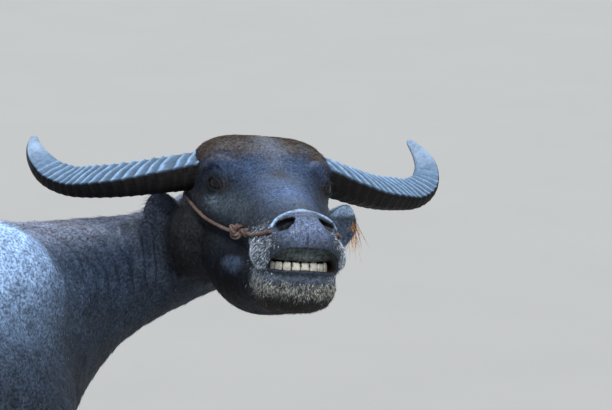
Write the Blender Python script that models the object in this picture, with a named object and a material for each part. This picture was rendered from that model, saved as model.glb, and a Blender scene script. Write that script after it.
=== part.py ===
"""A life-size swamp water buffalo, standing, with its head turned back to its right.

Metres, +Z up. The body points along +X and stands on the floor at z = 0. At the end everything
is moved so that the origin is on the floor under the middle of the whole animal's box.
The head is built in its own frame: x from the poll to the nose, y to the animal's left, z to the brow.
"""

import math
import random

import bmesh
import bpy
import numpy as np
from mathutils import Matrix, Vector
from mathutils.bvhtree import BVHTree

# Driving dimensions
WITHERS = 1.283
GAP = 0.0003
FINE = 0.0048
HEAD_FINE = 0.004
FLESH_FACES = 5200
HEAD_KEEP = 0.02

# The head's place: the point midway between the eyes, and how far it turns, lifts and rolls
EYES_AT = Vector((0.964, -0.322, 1.30))
HEAD_TURN = math.radians(-119.5)
HEAD_LIFT = math.radians(9.6)
HEAD_ROLL = math.radians(-5.8)

# Places on the head, in its own frame
EYE = Vector((0.165, 0.091, -0.028))
EYE_RADIUS = 0.0205
NOSTRIL = Vector((0.470, 0.041, -0.081))
MOUTH_Z = -0.157
JAW_BACK = 0.27

# Along the trunk and neck: x, y, heading in degrees, top, widest height, bottom, half width,
# and how square the upper and lower halves of the section are
TRUNK = (
    (-0.795, 0.000, 0, 1.150, 1.080, 1.010, 0.070, 2.0, 2.0),
    (-0.765, 0.000, 0, 1.195, 1.080, 0.940, 0.130, 2.0, 2.0),
    (-0.700, 0.000, 0, 1.236, 1.070, 0.850, 0.185, 2.0, 2.2),
    (-0.580, 0.000, 0, 1.268, 1.060, 0.740, 0.230, 1.9, 2.2),
    (-0.440, 0.000, 0, 1.275, 1.050, 0.660, 0.262, 1.8, 2.2),
    (-0.280, 0.000, 0, 1.255, 0.980, 0.590, 0.300, 1.8, 2.2),
    (-0.100, 0.000, 0, 1.243, 0.930, 0.550, 0.338, 1.9, 2.2),
    (0.080, 0.000, 0, 1.243, 0.930, 0.548, 0.342, 1.9, 2.2),
    (0.240, 0.000, 0, 1.262, 0.950, 0.568, 0.300, 1.8, 2.1),
    (0.360, 0.000, 0, WITHERS, 0.980, 0.598, 0.250, 1.7, 2.1),
    (0.460, 0.000, 0, 1.279, 1.000, 0.622, 0.214, 1.7, 2.1),
    (0.560, 0.006, 3, 1.250, 1.010, 0.668, 0.176, 1.9, 2.0),
    (0.650, 0.014, 4, 1.226, 1.040, 0.745, 0.148, 2.2, 2.0),
    (0.734, 0.020, 2, 1.212, 1.085, 0.850, 0.127, 2.5, 2.0),
    (0.800, 0.022, -2, 1.203, 1.090, 0.915, 0.120, 2.6, 2.0),
    (0.860, 0.018, -10, 1.195, 1.090, 0.955, 0.115, 2.6, 2.0),
    (0.922, 0.005, -20, 1.191, 1.090, 0.982, 0.112, 2.4, 2.0),
    (0.975, -0.018, -33, 1.212, 1.105, 1.000, 0.110, 2.2, 2.0),
    (1.020, -0.050, -50, 1.250, 1.135, 1.022, 0.108, 2.0, 2.0),
    (1.048, -0.095, -75, 1.300, 1.170, 1.050, 0.106, 2.0, 2.0),
    (1.052, -0.140, -100, 1.335, 1.205, 1.085, 0.100, 2.0, 2.0),
    (1.040, -0.180, -115, 1.335, 1.220, 1.110, 0.085, 2.0, 2.0),
)

# Down a leg: forward offset, outward offset, height, half length and half width
FORELEG = (
    (-0.090, 0.050, 1.170, 0.090, 0.045),
    (-0.050, 0.075, 1.060, 0.135, 0.075),
    (0.010, 0.095, 0.920, 0.145, 0.090),
    (0.040, 0.098, 0.800, 0.130, 0.090),
    (0.020, 0.090, 0.700, 0.108, 0.082),
    (0.000, 0.080, 0.610, 0.083, 0.068),
    (-0.008, 0.072, 0.510, 0.063, 0.055),
    (-0.008, 0.070, 0.430, 0.051, 0.047),
    (0.000, 0.070, 0.365, 0.055, 0.053),
    (-0.002, 0.070, 0.310, 0.045, 0.044),
    (-0.006, 0.070, 0.230, 0.037, 0.035),
    (-0.008, 0.070, 0.170, 0.040, 0.038),
    (-0.004, 0.070, 0.135, 0.046, 0.045),
    (0.010, 0.070, 0.100, 0.043, 0.045),
    (0.026, 0.070, 0.070, 0.052, 0.053),
    (0.034, 0.070, 0.040, 0.050, 0.052),
)
HINDLEG = (
    (0.110, 0.050, 1.190, 0.110, 0.060),
    (0.080, 0.070, 1.080, 0.200, 0.095),
    (0.065, 0.088, 0.950, 0.222, 0.112),
    (0.075, 0.094, 0.820, 0.192, 0.108),
    (0.070, 0.088, 0.700, 0.142, 0.088),
    (0.026, 0.077, 0.598, 0.090, 0.064),
    (-0.030, 0.070, 0.515, 0.063, 0.050),
    (-0.048, 0.068, 0.460, 0.058, 0.046),
    (-0.040, 0.068, 0.400, 0.048, 0.041),
    (-0.025, 0.068, 0.310, 0.040, 0.037),
    (-0.010, 0.068, 0.215, 0.038, 0.036),
    (-0.004, 0.068, 0.165, 0.041, 0.039),
    (0.000, 0.068, 0.135, 0.047, 0.046),
    (0.012, 0.068, 0.100, 0.043, 0.045),
    (0.026, 0.068, 0.070, 0.051, 0.052),
    (0.034, 0.068, 0.040, 0.049, 0.051),
)
# Each leg: name, table, forward place, side (+1 is the animal's left), height of its knee or hock cut,
# height of its top cut
LEGS = (
    ("foreleg_right", FORELEG, 0.440, -1, 0.365, 0.690),
    ("foreleg_left", FORELEG, 0.385, 1, 0.365, 0.690),
    ("hindleg_right", HINDLEG, -0.600, -1, 0.480, 0.760),
    ("hindleg_left", HINDLEG, -0.535, 1, 0.480, 0.760),
)
# How far behind and ahead of its forward place each leg is cut from the trunk
FORELEG_CUT = (-0.145, 0.230)
HINDLEG_CUT = (-0.260, 0.300)
LEG_SPREAD = 0.105
HOOF_HEIGHT = 0.072
HOOF_LENGTH = 0.135
CLAW_WIDTH = 0.058
CLAW_SLIT = 0.007
HOOF_OFFSET = 0.034

# Rounded masses of bone and muscle: centre, half sizes and lean in degrees, each on both sides
MASSES = (
    ((0.440, 0.095, 1.085), (0.225, 0.108, 0.190), -10),
    ((0.500, 0.118, 0.960), (0.150, 0.100, 0.200), -22),
    ((0.470, 0.130, 0.820), (0.120, 0.090, 0.150), -5),
    ((-0.430, 0.170, 1.150), (0.110, 0.070, 0.080), 15),
    ((-0.620, 0.115, 1.020), (0.155, 0.090, 0.180), 0),
    ((-0.300, 0.130, 0.760), (0.200, 0.110, 0.150), 0),
)
# The folded skin where the neck bends, on the right only: centre in the head's frame and half sizes
THROAT_FOLDS = (
    ((-0.005, -0.076, -0.130), (0.095, 0.080, 0.092)),
    ((-0.085, -0.060, -0.150), (0.090, 0.075, 0.085)),
)

# Along the upper head: x, top, widest height, bottom, half width, squareness above and below
SKULL = (
    (-0.065, 0.010, -0.050, -0.120, 0.060, 2.0, 2.0),
    (-0.035, 0.042, -0.045, -0.145, 0.102, 2.4, 2.0),
    (0.000, 0.056, -0.038, -0.155, 0.120, 3.0, 2.2),
    (0.040, 0.061, -0.032, -0.158, 0.125, 3.2, 2.2),
    (0.085, 0.060, -0.028, -0.160, 0.122, 3.1, 2.2),
    (0.130, 0.051, -0.026, -0.160, 0.116, 2.9, 2.2),
    (0.170, 0.037, -0.045, -0.160, 0.106, 2.6, 2.2),
    (0.215, 0.014, -0.070, -0.160, 0.093, 2.0, 2.2),
    (0.275, -0.010, -0.088, -0.158, 0.080, 1.9, 2.2),
    (0.340, -0.030, -0.102, -0.160, 0.074, 1.8, 2.3),
    (0.390, -0.043, -0.124, -0.170, 0.076, 1.7, 2.4),
    (0.425, -0.050, -0.136, -0.176, 0.078, 1.6, 2.4),
    (0.452, -0.056, -0.134, -0.174, 0.073, 1.6, 2.4),
    (0.472, -0.064, -0.126, -0.164, 0.062, 1.7, 2.3),
    (0.486, -0.077, -0.116, -0.148, 0.044, 1.9, 2.0),
    (0.491, -0.092, -0.112, -0.132, 0.023, 2.0, 2.0),
)
# Along the lower jaw, in the same columns
JAW = (
    (-0.010, -0.095, -0.130, -0.170, 0.060, 2.0, 2.0),
    (0.030, -0.080, -0.140, -0.228, 0.094, 2.0, 2.0),
    (0.090, -0.080, -0.148, -0.257, 0.105, 2.0, 2.0),
    (0.160, -0.090, -0.158, -0.262, 0.100, 2.0, 2.1),
    (0.235, -0.110, -0.170, -0.256, 0.086, 2.0, 2.2),
    (0.300, -0.125, -0.176, -0.247, 0.077, 2.0, 2.3),
    (0.355, -0.132, -0.182, -0.241, 0.073, 2.0, 2.4),
    (0.395, -0.136, -0.184, -0.239, 0.073, 2.3, 2.4),
    (0.428, -0.142, -0.185, -0.234, 0.069, 2.6, 2.3),
    (0.450, -0.149, -0.184, -0.225, 0.059, 2.6, 2.2),
    (0.463, -0.157, -0.184, -0.213, 0.044, 2.3, 2.0),
    (0.469, -0.167, -0.184, -0.202, 0.025, 2.0, 2.0),
)
# The opening of the lips: x, half width, top
MOUTH = (
    (0.388, 0.040, -0.150),
    (0.406, 0.054, -0.138),
    (0.428, 0.059, -0.126),
    (0.455, 0.060, -0.119),
    (0.490, 0.061, -0.117),
    (0.530, 0.062, -0.115),
)
# Soft swellings and hollows on the head: centre, reach and push, each on both sides
SWELLINGS = (
    ((0.145, 0.100, 0.012), 0.034, (0.000, 0.005, 0.009)),
    ((0.120, 0.100, -0.085), 0.055, (0.000, 0.008, 0.000)),
    ((0.190, 0.100, -0.070), 0.028, (0.000, 0.004, 0.000)),
    ((0.215, 0.085, -0.025), 0.028, (0.000, -0.004, 0.000)),
    ((0.270, 0.080, -0.095), 0.040, (0.000, -0.006, 0.000)),
    ((0.300, 0.085, -0.160), 0.026, (0.000, 0.009, 0.000)),
    ((0.452, 0.050, -0.070), 0.020, (0.004, 0.002, 0.005)),
    ((0.420, 0.076, -0.128), 0.034, (0.000, 0.007, 0.000)),
    ((0.165, 0.108, -0.028), 0.026, (-0.001, -0.005, 0.000)),
    ((0.240, 0.000, 0.008), 0.040, (0.000, 0.000, -0.004)),
)

# Along a horn, right side: x, y, z in the head's frame and half thickness
RIGHT_HORN = (
    (0.050, -0.070, 0.000, 0.039),
    (0.044, -0.126, -0.010, 0.037),
    (0.030, -0.192, -0.024, 0.034),
    (0.000, -0.246, -0.036, 0.032),
    (-0.040, -0.297, -0.044, 0.030),
    (-0.075, -0.333, -0.045, 0.028),
    (-0.110, -0.362, -0.034, 0.026),
    (-0.140, -0.380, -0.014, 0.021),
    (-0.168, -0.388, 0.008, 0.014),
    (-0.190, -0.386, 0.030, 0.005),
)
LEFT_HORN = (
    (0.050, 0.070, 0.000, 0.039),
    (0.040, 0.130, -0.008, 0.037),
    (0.010, 0.192, -0.024, 0.035),
    (-0.035, 0.249, -0.036, 0.033),
    (-0.085, 0.302, -0.040, 0.031),
    (-0.125, 0.345, -0.038, 0.029),
    (-0.165, 0.378, -0.022, 0.026),
    (-0.200, 0.391, 0.006, 0.021),
    (-0.230, 0.385, 0.032, 0.014),
    (-0.258, 0.366, 0.060, 0.005),
)
HORN_RIDGES = 19
HORN_RIDGED_SHARE = 0.66
HORN_RIDGE_DEPTH = 0.07

# The ears: where they root and where each tip is, in the head's frame, the right one mirrored
EAR_ROOT = Vector((0.020, 0.098, -0.102))
EAR_TIPS = {"right": Vector((-0.080, 0.186, -0.102)), "left": Vector((-0.090, 0.228, -0.116))}
EAR_HALF_WIDTH = 0.052
EAR_WALL = 0.006
# Along the ear, root to tip: share of its length, of its half width, and how far it curls
EAR_SHAPE = (
    (0.00, 0.38, 1.9),
    (0.12, 0.44, 1.8),
    (0.25, 0.66, 1.5),
    (0.42, 0.92, 1.1),
    (0.58, 1.00, 0.9),
    (0.74, 0.90, 0.8),
    (0.88, 0.62, 0.8),
    (0.97, 0.30, 0.8),
    (1.00, 0.10, 0.8),
)

# Down the tail: x, y, z, radius
TAIL = (
    (-0.770, 0.000, 1.150, 0.034),
    (-0.815, 0.000, 1.135, 0.032),
    (-0.850, 0.002, 1.080, 0.027),
    (-0.868, 0.004, 0.980, 0.021),
    (-0.872, 0.006, 0.860, 0.017),
    (-0.868, 0.008, 0.740, 0.014),
    (-0.862, 0.010, 0.640, 0.012),
)
TUFT_TOP = 0.6385
TUFT_LENGTH = 0.270
TUFT_LOCKS = 12

# The nose rope on the head, right nostril over the nape to the left one
ROPE_RADIUS = 0.0035
ROPE_STEPS = 50
ROPE_ROUTE = (
    (0.456, -0.054, -0.093),
    (0.425, -0.072, -0.099),
    (0.370, -0.080, -0.104),
    (0.300, -0.090, -0.104),
    (0.235, -0.100, -0.112),
    (0.160, -0.110, -0.098),
    (0.100, -0.120, -0.078),
    (0.045, -0.122, -0.067),
    (0.005, -0.118, -0.064),
    (-0.025, -0.106, -0.036),
    (-0.042, -0.080, 0.004),
    (-0.050, -0.040, 0.030),
    (-0.052, 0.000, 0.036),
)
KNOT = Vector((0.300, -0.090, -0.104))
KNOT_RADIUS = 0.0165

# The lower front teeth, a curved row of eight
TOOTH_WIDTHS = (0.0158, 0.0153, 0.0147, 0.0085)
TOOTH_HEIGHT = 0.0135
TEETH_ARC_RADIUS = 0.076
TEETH_FRONT = 0.443

# Colour and roughness of the hide, and of what is not hide by a word in its object's name
HIDE = ((0.045, 0.047, 0.055, 1.0), 0.55)
OTHER_FINISHES = {
    "horn": ((0.055, 0.052, 0.050, 1.0), 0.40),
    "eye": ((0.012, 0.009, 0.008, 1.0), 0.10),
    "claw": ((0.050, 0.045, 0.040, 1.0), 0.45),
    "tuft": ((0.060, 0.045, 0.035, 1.0), 0.70),
    "rope": ((0.300, 0.190, 0.130, 1.0), 0.85),
}
SHARP_ANGLE = math.radians(50)


def head_matrix():
    """The head's frame in the world, set so that the eyes' middle is at EYES_AT."""
    turned = (
        Matrix.Rotation(HEAD_TURN, 4, "Z")
        @ Matrix.Rotation(-HEAD_LIFT, 4, "Y")
        @ Matrix.Rotation(HEAD_ROLL, 4, "X")
    )
    middle = turned @ Vector((EYE.x, 0.0, EYE.z))
    return Matrix.Translation(EYES_AT - middle) @ turned


HEAD = head_matrix()


def read_smoothly(table, count):
    """count rows read from a smooth curve through the table's rows."""
    rows = np.array(table, float)
    last = len(rows) - 1
    at = np.linspace(0, last, count)
    i = np.minimum(at.astype(int), last - 1)
    t = (at - i)[:, None]
    p0, p1 = rows[np.maximum(i - 1, 0)], rows[i]
    p2, p3 = rows[i + 1], rows[np.minimum(i + 2, last)]
    return 0.5 * (
        2 * p1
        + (p2 - p0) * t
        + (2 * p0 - 5 * p1 + 4 * p2 - p3) * t**2
        + (3 * p1 - p0 - 3 * p2 + p3) * t**3
    )


def half_powers(angles, square_up, square_down):
    """A rounded section's sideways and upright shares, squarer where the power is higher."""
    power = np.where(np.sin(angles) > 0, 2 / square_up, 2 / square_down)
    side = np.sign(np.cos(angles)) * np.abs(np.cos(angles)) ** power
    rise = np.sign(np.sin(angles)) * np.abs(np.sin(angles)) ** power
    return side, rise


def loft(rings):
    """A closed bmesh through rings of equal count, each end closed by a fan."""
    bm = bmesh.new()
    made = [[bm.verts.new(p) for p in ring] for ring in rings]
    count = len(made[0])
    for a, b in zip(made, made[1:]):
        for i in range(count):
            j = (i + 1) % count
            bm.faces.new((a[i], a[j], b[j], b[i]))
    for ring in (made[0], made[-1]):
        middle = bm.verts.new(sum((v.co for v in ring), Vector()) / count)
        for i in range(count):
            bm.faces.new((ring[i], ring[(i + 1) % count], middle))
    return facing_out(bm)


def facing_out(bm):
    bmesh.ops.recalc_face_normals(bm, faces=bm.faces)
    if bm.calc_volume(signed=True) < 0:
        bmesh.ops.reverse_faces(bm, faces=bm.faces)
    return bm


def object_from(name, bm):
    mesh = bpy.data.meshes.new(name)
    bm.to_mesh(mesh)
    bm.free()
    obj = bpy.data.objects.new(name, mesh)
    bpy.context.scene.collection.objects.link(obj)
    return obj


def dress(obj):
    """Gives the object its own Principled material, and smooth shading round its curves."""
    made = bpy.data.materials.new(obj.name)
    made.use_nodes = True
    shader = made.node_tree.nodes["Principled BSDF"]
    kind = next((word for word in OTHER_FINISHES if word in obj.name), None)
    colour, roughness = OTHER_FINISHES.get(kind, HIDE)
    shader.inputs["Base Color"].default_value = colour
    shader.inputs["Roughness"].default_value = roughness
    shader.inputs["Metallic"].default_value = 0.0
    obj.data.materials.clear()
    obj.data.materials.append(made)
    obj.data.shade_smooth()
    obj.data.set_sharp_from_angle(angle=SHARP_ANGLE)


def trunk_and_neck():
    """The trunk and the neck, one loft along a path that bends to the right behind the head."""
    angles = np.linspace(0, 2 * math.pi, 40, endpoint=False)
    rings = []
    for x, y, heading, top, wide, low, half, up, down in read_smoothly(TRUNK, 90):
        side, rise = half_powers(angles, up, down)
        across = half * side
        turn = math.radians(heading)
        z = wide + np.where(rise > 0, rise * (top - wide), rise * (wide - low))
        rings.append(
            np.stack([x - across * math.sin(turn), y + across * math.cos(turn), z], 1)
        )
    return loft(rings)


def leg(table, forward, side):
    """One leg from the shoulder or hip down into the hoof."""
    angles = np.linspace(0, 2 * math.pi, 20, endpoint=False)
    rings = []
    for ahead, out, z, half_length, half_width in read_smoothly(table, 46):
        x = forward + ahead + half_length * np.cos(angles)
        y = side * (LEG_SPREAD + out + half_width * np.sin(angles))
        rings.append(np.stack([x, y, np.full_like(x, z)], 1))
    return loft(rings)


def ball(centre, sizes, lean=0.0, segments=20):
    """An ellipsoid, leant about Y."""
    bm = bmesh.new()
    bmesh.ops.create_uvsphere(bm, u_segments=segments, v_segments=segments // 2, radius=1.0)
    place = (
        Matrix.Translation(centre)
        @ Matrix.Rotation(math.radians(lean), 4, "Y")
        @ Matrix.Diagonal((*sizes, 1.0))
    )
    bm.transform(place)
    return bm


def dewclaw_balls(forward, side):
    """The two small dewclaws behind a fetlock."""
    return [
        ball((forward - 0.047, side * (LEG_SPREAD + 0.070 + off), 0.118), (0.017, 0.012, 0.018), 30, 12)
        for off in (-0.020, 0.020)
    ]


def head_section(row, angles):
    x, top, wide, low, half, up, down = row
    side, rise = half_powers(angles, up, down)
    z = wide + np.where(rise > 0, rise * (top - wide), rise * (wide - low))
    return np.stack([np.full_like(z, x), half * side, z], 1)


def head_lofts():
    angles = np.linspace(0, 2 * math.pi, 48, endpoint=False)
    return [
        loft([head_section(row, angles) for row in read_smoothly(table, count)])
        for table, count in ((SKULL, 80), (JAW, 60))
    ]


def mouth_cutter():
    """The parted lips: an arch with a flat floor, open to the front."""
    angles = np.linspace(0, math.pi, 25)
    rings = []
    for x, half, top in read_smoothly(MOUTH, 16):
        side, rise = half_powers(angles, 2.8, 2.0)
        rings.append(np.stack([np.full_like(side, x), half * side, MOUTH_Z + (top - MOUTH_Z) * rise], 1))
    return loft(rings)


def nostril_cutter(side):
    """A long hollow that slants down, back and outwards."""
    along = Vector((-0.66, side * 0.62, -0.36)).normalized()
    inward = Vector((-0.80, -side * 0.55, 0.10))
    inward = (inward - along * inward.dot(along)).normalized()
    turned = Matrix((along, inward, along.cross(inward))).transposed().to_4x4()
    bm = ball((0, 0, 0), (0.0205, 0.026, 0.0100), 0, 20)
    bm.transform(Matrix.Translation((NOSTRIL.x, side * NOSTRIL.y, NOSTRIL.z)) @ turned)
    return facing_out(bm)


def palate_pad():
    """The hard pad that stands where upper front teeth would be."""
    rings = []
    for turn in np.linspace(-0.85, 0.85, 21):
        middle = Vector((TEETH_FRONT + 0.009 - TEETH_ARC_RADIUS * (1 - math.cos(turn)),
                         TEETH_ARC_RADIUS * math.sin(turn), MOUTH_Z + 0.026))
        out = Vector((math.cos(turn), math.sin(turn), 0))
        rings.append([
            middle + out * 0.010 * math.cos(a) + Vector((0, 0, 0.0125 * math.sin(a)))
            for a in np.linspace(0, 2 * math.pi, 12, endpoint=False)
        ])
    return loft(rings)


def fused(name, shapes, voxel):
    """One closed skin round overlapping closed shapes, from a voxel remesh."""
    whole = bmesh.new()
    for shape in shapes:
        scrap = bpy.data.meshes.new("scrap")
        shape.to_mesh(scrap)
        shape.free()
        whole.from_mesh(scrap)
        bpy.data.meshes.remove(scrap)
    obj = object_from(name, whole)
    remesh = obj.modifiers.new("fuse", "REMESH")
    remesh.mode = "VOXEL"
    remesh.voxel_size = voxel
    apply_modifiers(obj)
    return obj


def apply_modifiers(obj):
    """Replaces the object's mesh by what its modifiers make of it."""
    graph = bpy.context.evaluated_depsgraph_get()
    made = bpy.data.meshes.new_from_object(obj.evaluated_get(graph))
    old = obj.data
    obj.modifiers.clear()
    obj.data = made
    bpy.data.meshes.remove(old)


def remove(obj):
    mesh = obj.data
    bpy.data.objects.remove(obj)
    bpy.data.meshes.remove(mesh)


def boolean(obj, tool, operation="DIFFERENCE"):
    """Cuts the object by a tool, or keeps what is inside it, and removes the tool."""
    tool.hide_render = True
    tool.display_type = "WIRE"
    step = obj.modifiers.new("cut", "BOOLEAN")
    step.operation = operation
    step.object = tool
    apply_modifiers(obj)
    remove(tool)


def points_of(obj):
    co = np.empty(len(obj.data.vertices) * 3, np.float32)
    obj.data.vertices.foreach_get("co", co)
    return co.reshape(-1, 3).astype(float)


def set_points(obj, points):
    obj.data.vertices.foreach_set("co", points.astype(np.float32).ravel())
    obj.data.update()


def swell(points):
    """Pushes the head's points by its soft swellings and hollows, on both sides."""
    moved = points.copy()
    for centre, reach, push in SWELLINGS:
        for side in (1, -1):
            at = np.array(centre) * (1, side, 1)
            far = np.linalg.norm(points - at, axis=1) / reach
            moved += np.exp(-(far**2))[:, None] * np.array(push) * (1, side, 1)
    return moved


def smooth(obj, times):
    step = obj.modifiers.new("smooth", "SMOOTH")
    step.factor = 0.5
    step.iterations = times
    apply_modifiers(obj)


def head_flesh():
    """The head with its lips parted, its nostrils and its pad, in the world."""
    head = fused("head_flesh", head_lofts(), HEAD_FINE)
    smooth(head, 12)
    set_points(head, swell(points_of(head)))
    for cutter in (mouth_cutter(), nostril_cutter(1), nostril_cutter(-1)):
        boolean(head, object_from("cutter", cutter))
    shape = bmesh.new()
    shape.from_mesh(head.data)
    remove(head)
    whole = fused("head_flesh", [shape, palate_pad()], HEAD_FINE)
    whole.data.transform(HEAD)
    return whole


def body_flesh():
    """All the flesh as one closed skin, fine and smooth, before it is parted."""
    shapes = [trunk_and_neck()]
    for _, table, forward, side, _, _ in LEGS:
        shapes.append(leg(table, forward, side))
        shapes += dewclaw_balls(forward, side)
    for (x, y, z), sizes, lean in MASSES:
        for side in (1, -1):
            shapes.append(ball((x, side * y, z), sizes, lean))
    body = fused("flesh", shapes, FINE)
    smooth(body, 10)
    z = points_of(body)[:, 2]
    smooth_some(body, 150, (z > 0.58, z > 0.68))
    head = head_flesh()
    shapes = []
    for centre, sizes in THROAT_FOLDS:
        fold = ball(centre, sizes)
        fold.transform(HEAD)
        shapes.append(fold)
    for part in (body, head):
        shape = bmesh.new()
        shape.from_mesh(part.data)
        shapes.append(shape)
        remove(part)
    flesh = fused("flesh", shapes, FINE)
    ahead = in_head_frame(points_of(flesh))[:, 0]
    near = np.linalg.norm(points_of(flesh) - np.array(EYES_AT), axis=1)
    smooth_some(flesh, 80, ((near < 0.45) & (ahead < 0.02), (near < 0.40) & (ahead < -0.02)))
    return flesh


def smooth_some(obj, times, halves):
    """Smooths the picked points, half as much in the first pick's rim as in the second pick."""
    group = obj.vertex_groups.new(name="soft")
    for picked, weight in zip(halves, (0.5, 1.0)):
        group.add([int(i) for i in np.nonzero(picked)[0]], weight, "REPLACE")
    step = obj.modifiers.new("soft", "SMOOTH")
    step.factor = 0.5
    step.iterations = times
    step.vertex_group = "soft"
    apply_modifiers(obj)
    obj.vertex_groups.clear()


def in_head_frame(points):
    back = np.array(HEAD.inverted())
    return points @ back[:3, :3].T + back[:3, 3]


def thin_out(flesh):
    """Fewer, larger faces where the skin is plain, and more on the head."""
    group = flesh.vertex_groups.new(name="coarse")
    ahead = in_head_frame(points_of(flesh))[:, 0]
    near = np.linalg.norm(points_of(flesh) - np.array(EYES_AT), axis=1) < 0.42
    for keep, weight in ((ahead > -9, 1.0), (near & (ahead > 0.0), 0.5), (near & (ahead > 0.36), 0.1)):
        group.add([int(i) for i in np.nonzero(keep)[0]], weight, "REPLACE")
    step = flesh.modifiers.new("fewer", "DECIMATE")
    step.ratio = FLESH_FACES / (2 * len(flesh.data.polygons))
    step.vertex_group = "coarse"
    step.vertex_group_factor = HEAD_KEEP
    step.use_collapse_triangulate = True
    apply_modifiers(flesh)


def block(low, high, place=None):
    """A box between two corners, moved by a matrix."""
    bm = bmesh.new()
    bmesh.ops.create_cube(bm, size=1.0)
    low, high = Vector(low), Vector(high)
    bm.transform(Matrix.Translation((low + high) / 2) @ Matrix.Diagonal((*(high - low), 1.0)))
    if place:
        bm.transform(place)
    return bm


def keep_largest(obj):
    """Leaves only the largest closed surface of the mesh."""
    bm = bmesh.new()
    bm.from_mesh(obj.data)
    left, largest = set(bm.verts), set()
    while left:
        island, edge = set(), [left.pop()]
        while edge:
            vertex = edge.pop()
            island.add(vertex)
            near = {e.other_vert(vertex) for e in vertex.link_edges} & left
            left -= near
            edge += near
        largest = max(largest, island, key=len)
    bmesh.ops.delete(bm, geom=[v for v in bm.verts if v not in largest], context="VERTS")
    bm.to_mesh(obj.data)
    bm.free()


def part_off(rest, name, low, high, place=None):
    """Cuts the flesh inside a box off as a node, and leaves a thin gap round the box."""
    node = rest.copy()
    node.data = rest.data.copy()
    node.name = name
    bpy.context.scene.collection.objects.link(node)
    boolean(node, object_from("inside", block(low, high, place)), "INTERSECT")
    margin = Vector((GAP, GAP, GAP))
    boolean(rest, object_from("outside", block(Vector(low) - margin, Vector(high) + margin, place)))
    keep_largest(node)
    keep_largest(rest)
    return node


def part_flesh(flesh):
    """Divides the flesh into head, jaw, neck, legs and torso."""
    nodes = {"head": part_off(flesh, "head", (-0.035, -0.24, -0.33), (0.60, 0.24, 0.20), HEAD)}
    nodes["lower_jaw"] = part_off(
        nodes["head"], "lower_jaw", (JAW_BACK, -0.20, -0.33), (0.60, 0.20, MOUTH_Z), HEAD)
    lean = Matrix.Translation((0.560, 0, WITHERS)) @ Matrix.Rotation(math.radians(-13), 4, "Y")
    nodes["neck"] = part_off(flesh, "neck", (0, -0.5, -0.9), (0.9, 0.5, 0.3), lean)
    for name, table, forward, side, knee, top in LEGS:
        inner, outer = sorted((side * 0.085, side * 0.45))
        back, front = FORELEG_CUT if table is FORELEG else HINDLEG_CUT
        for end, low, high in (("_lower", HOOF_HEIGHT, knee), ("_upper", knee, top)):
            nodes[name + end] = part_off(
                flesh, name + end, (forward + back, inner, low + GAP), (forward + front, outer, high))
        below = block((forward + back, inner, -0.1), (forward + front, outer, HOOF_HEIGHT + 2 * GAP))
        boolean(flesh, object_from("below", below))
        keep_largest(flesh)
    flesh.name = "torso"
    nodes["torso"] = flesh
    return nodes


def horn(name, table):
    """A crescent horn of rounded three-cornered section, with leaning growth ridges and a smooth tip."""
    angles = np.linspace(0, 2 * math.pi, 12, endpoint=False)
    bulge = 1 + 0.16 * np.cos(3 * angles) + 0.10 * np.exp(-((angles / 0.5) ** 2))
    bulge += 0.10 * np.exp(-(((angles - 2 * math.pi) / 0.5) ** 2))
    ridged = 2 * HORN_RIDGES
    shares = np.concatenate([
        np.linspace(0, HORN_RIDGED_SHARE, ridged, endpoint=False),
        np.linspace(HORN_RIDGED_SHARE, 1, 11),
    ])
    fine = read_smoothly(table, 201)
    rows = np.stack([np.interp(shares * 200, range(201), fine[:, k]) for k in range(4)], 1)
    rings = []
    for i, (row, share) in enumerate(zip(rows, shares)):
        ahead = rows[min(i + 1, len(rows) - 1)][:3] - rows[max(i - 1, 0)][:3]
        along = Vector(ahead).normalized()
        front = (Vector((1, 0, 0)) - along * along.x).normalized()
        up = front.cross(along) * (1 if table[0][1] < 0 else -1)
        fade = min(1.0, 8 * share) * max(0.0, 1 - (share / HORN_RIDGED_SHARE) ** 6)
        size = row[3] * (1 + (HORN_RIDGE_DEPTH * fade if i % 2 else -HORN_RIDGE_DEPTH * 0.5 * fade))
        rings.append([
            Vector(row[:3])
            + (front * 1.06 * math.cos(a) + up * 0.98 * math.sin(a)) * size * b
            - along * row[3] * 0.35 * max(0.0, math.sin(a)) * fade
            for a, b in zip(angles, bulge)
        ])
    bm = loft(rings)
    bm.transform(HEAD)
    return object_from(name, bm)


def ear(name, side):
    """A leaf-shaped ear, rolled into a cup that opens forwards."""
    mirror = Matrix.Diagonal((1, side, 1, 1))
    reach = EAR_TIPS["left" if side > 0 else "right"] - EAR_ROOT
    along = reach.normalized()
    across = Vector((along.y, -along.x, -0.25)).cross(along).normalized()
    open_way = along.cross(across).normalized()
    rings = []
    for share, wide, curl in read_smoothly(EAR_SHAPE, 15):
        half = EAR_HALF_WIDTH * wide
        turns = np.linspace(-curl, curl, 9)
        radius = half / max(math.sin(min(curl, 1.5)), 0.3)
        wall = EAR_WALL * (1.6 - share)
        middle = EAR_ROOT + reach * share + open_way * 0.012 * math.sin(math.pi * share)
        ring = []
        for depth, order in ((0.0, turns), (wall, turns[::-1])):
            for t in order:
                thin = depth * (1 - 0.6 * (abs(t) / curl) ** 4)
                deep = radius - (radius - thin) * math.cos(t)
                wide_at = (radius - thin) * math.sin(t)
                ring.append(middle + across * wide_at + open_way * (deep - 0.5 * half))
        rings.append(ring)
    bm = loft(rings)
    bm.transform(HEAD @ mirror)
    return object_from(name, facing_out(bm))


def eyeball(name, side):
    bm = bmesh.new()
    bmesh.ops.create_uvsphere(bm, u_segments=14, v_segments=9, radius=EYE_RADIUS)
    bm.transform(HEAD @ Matrix.Translation((EYE.x, side * EYE.y, EYE.z)))
    return object_from(name, bm)


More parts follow.
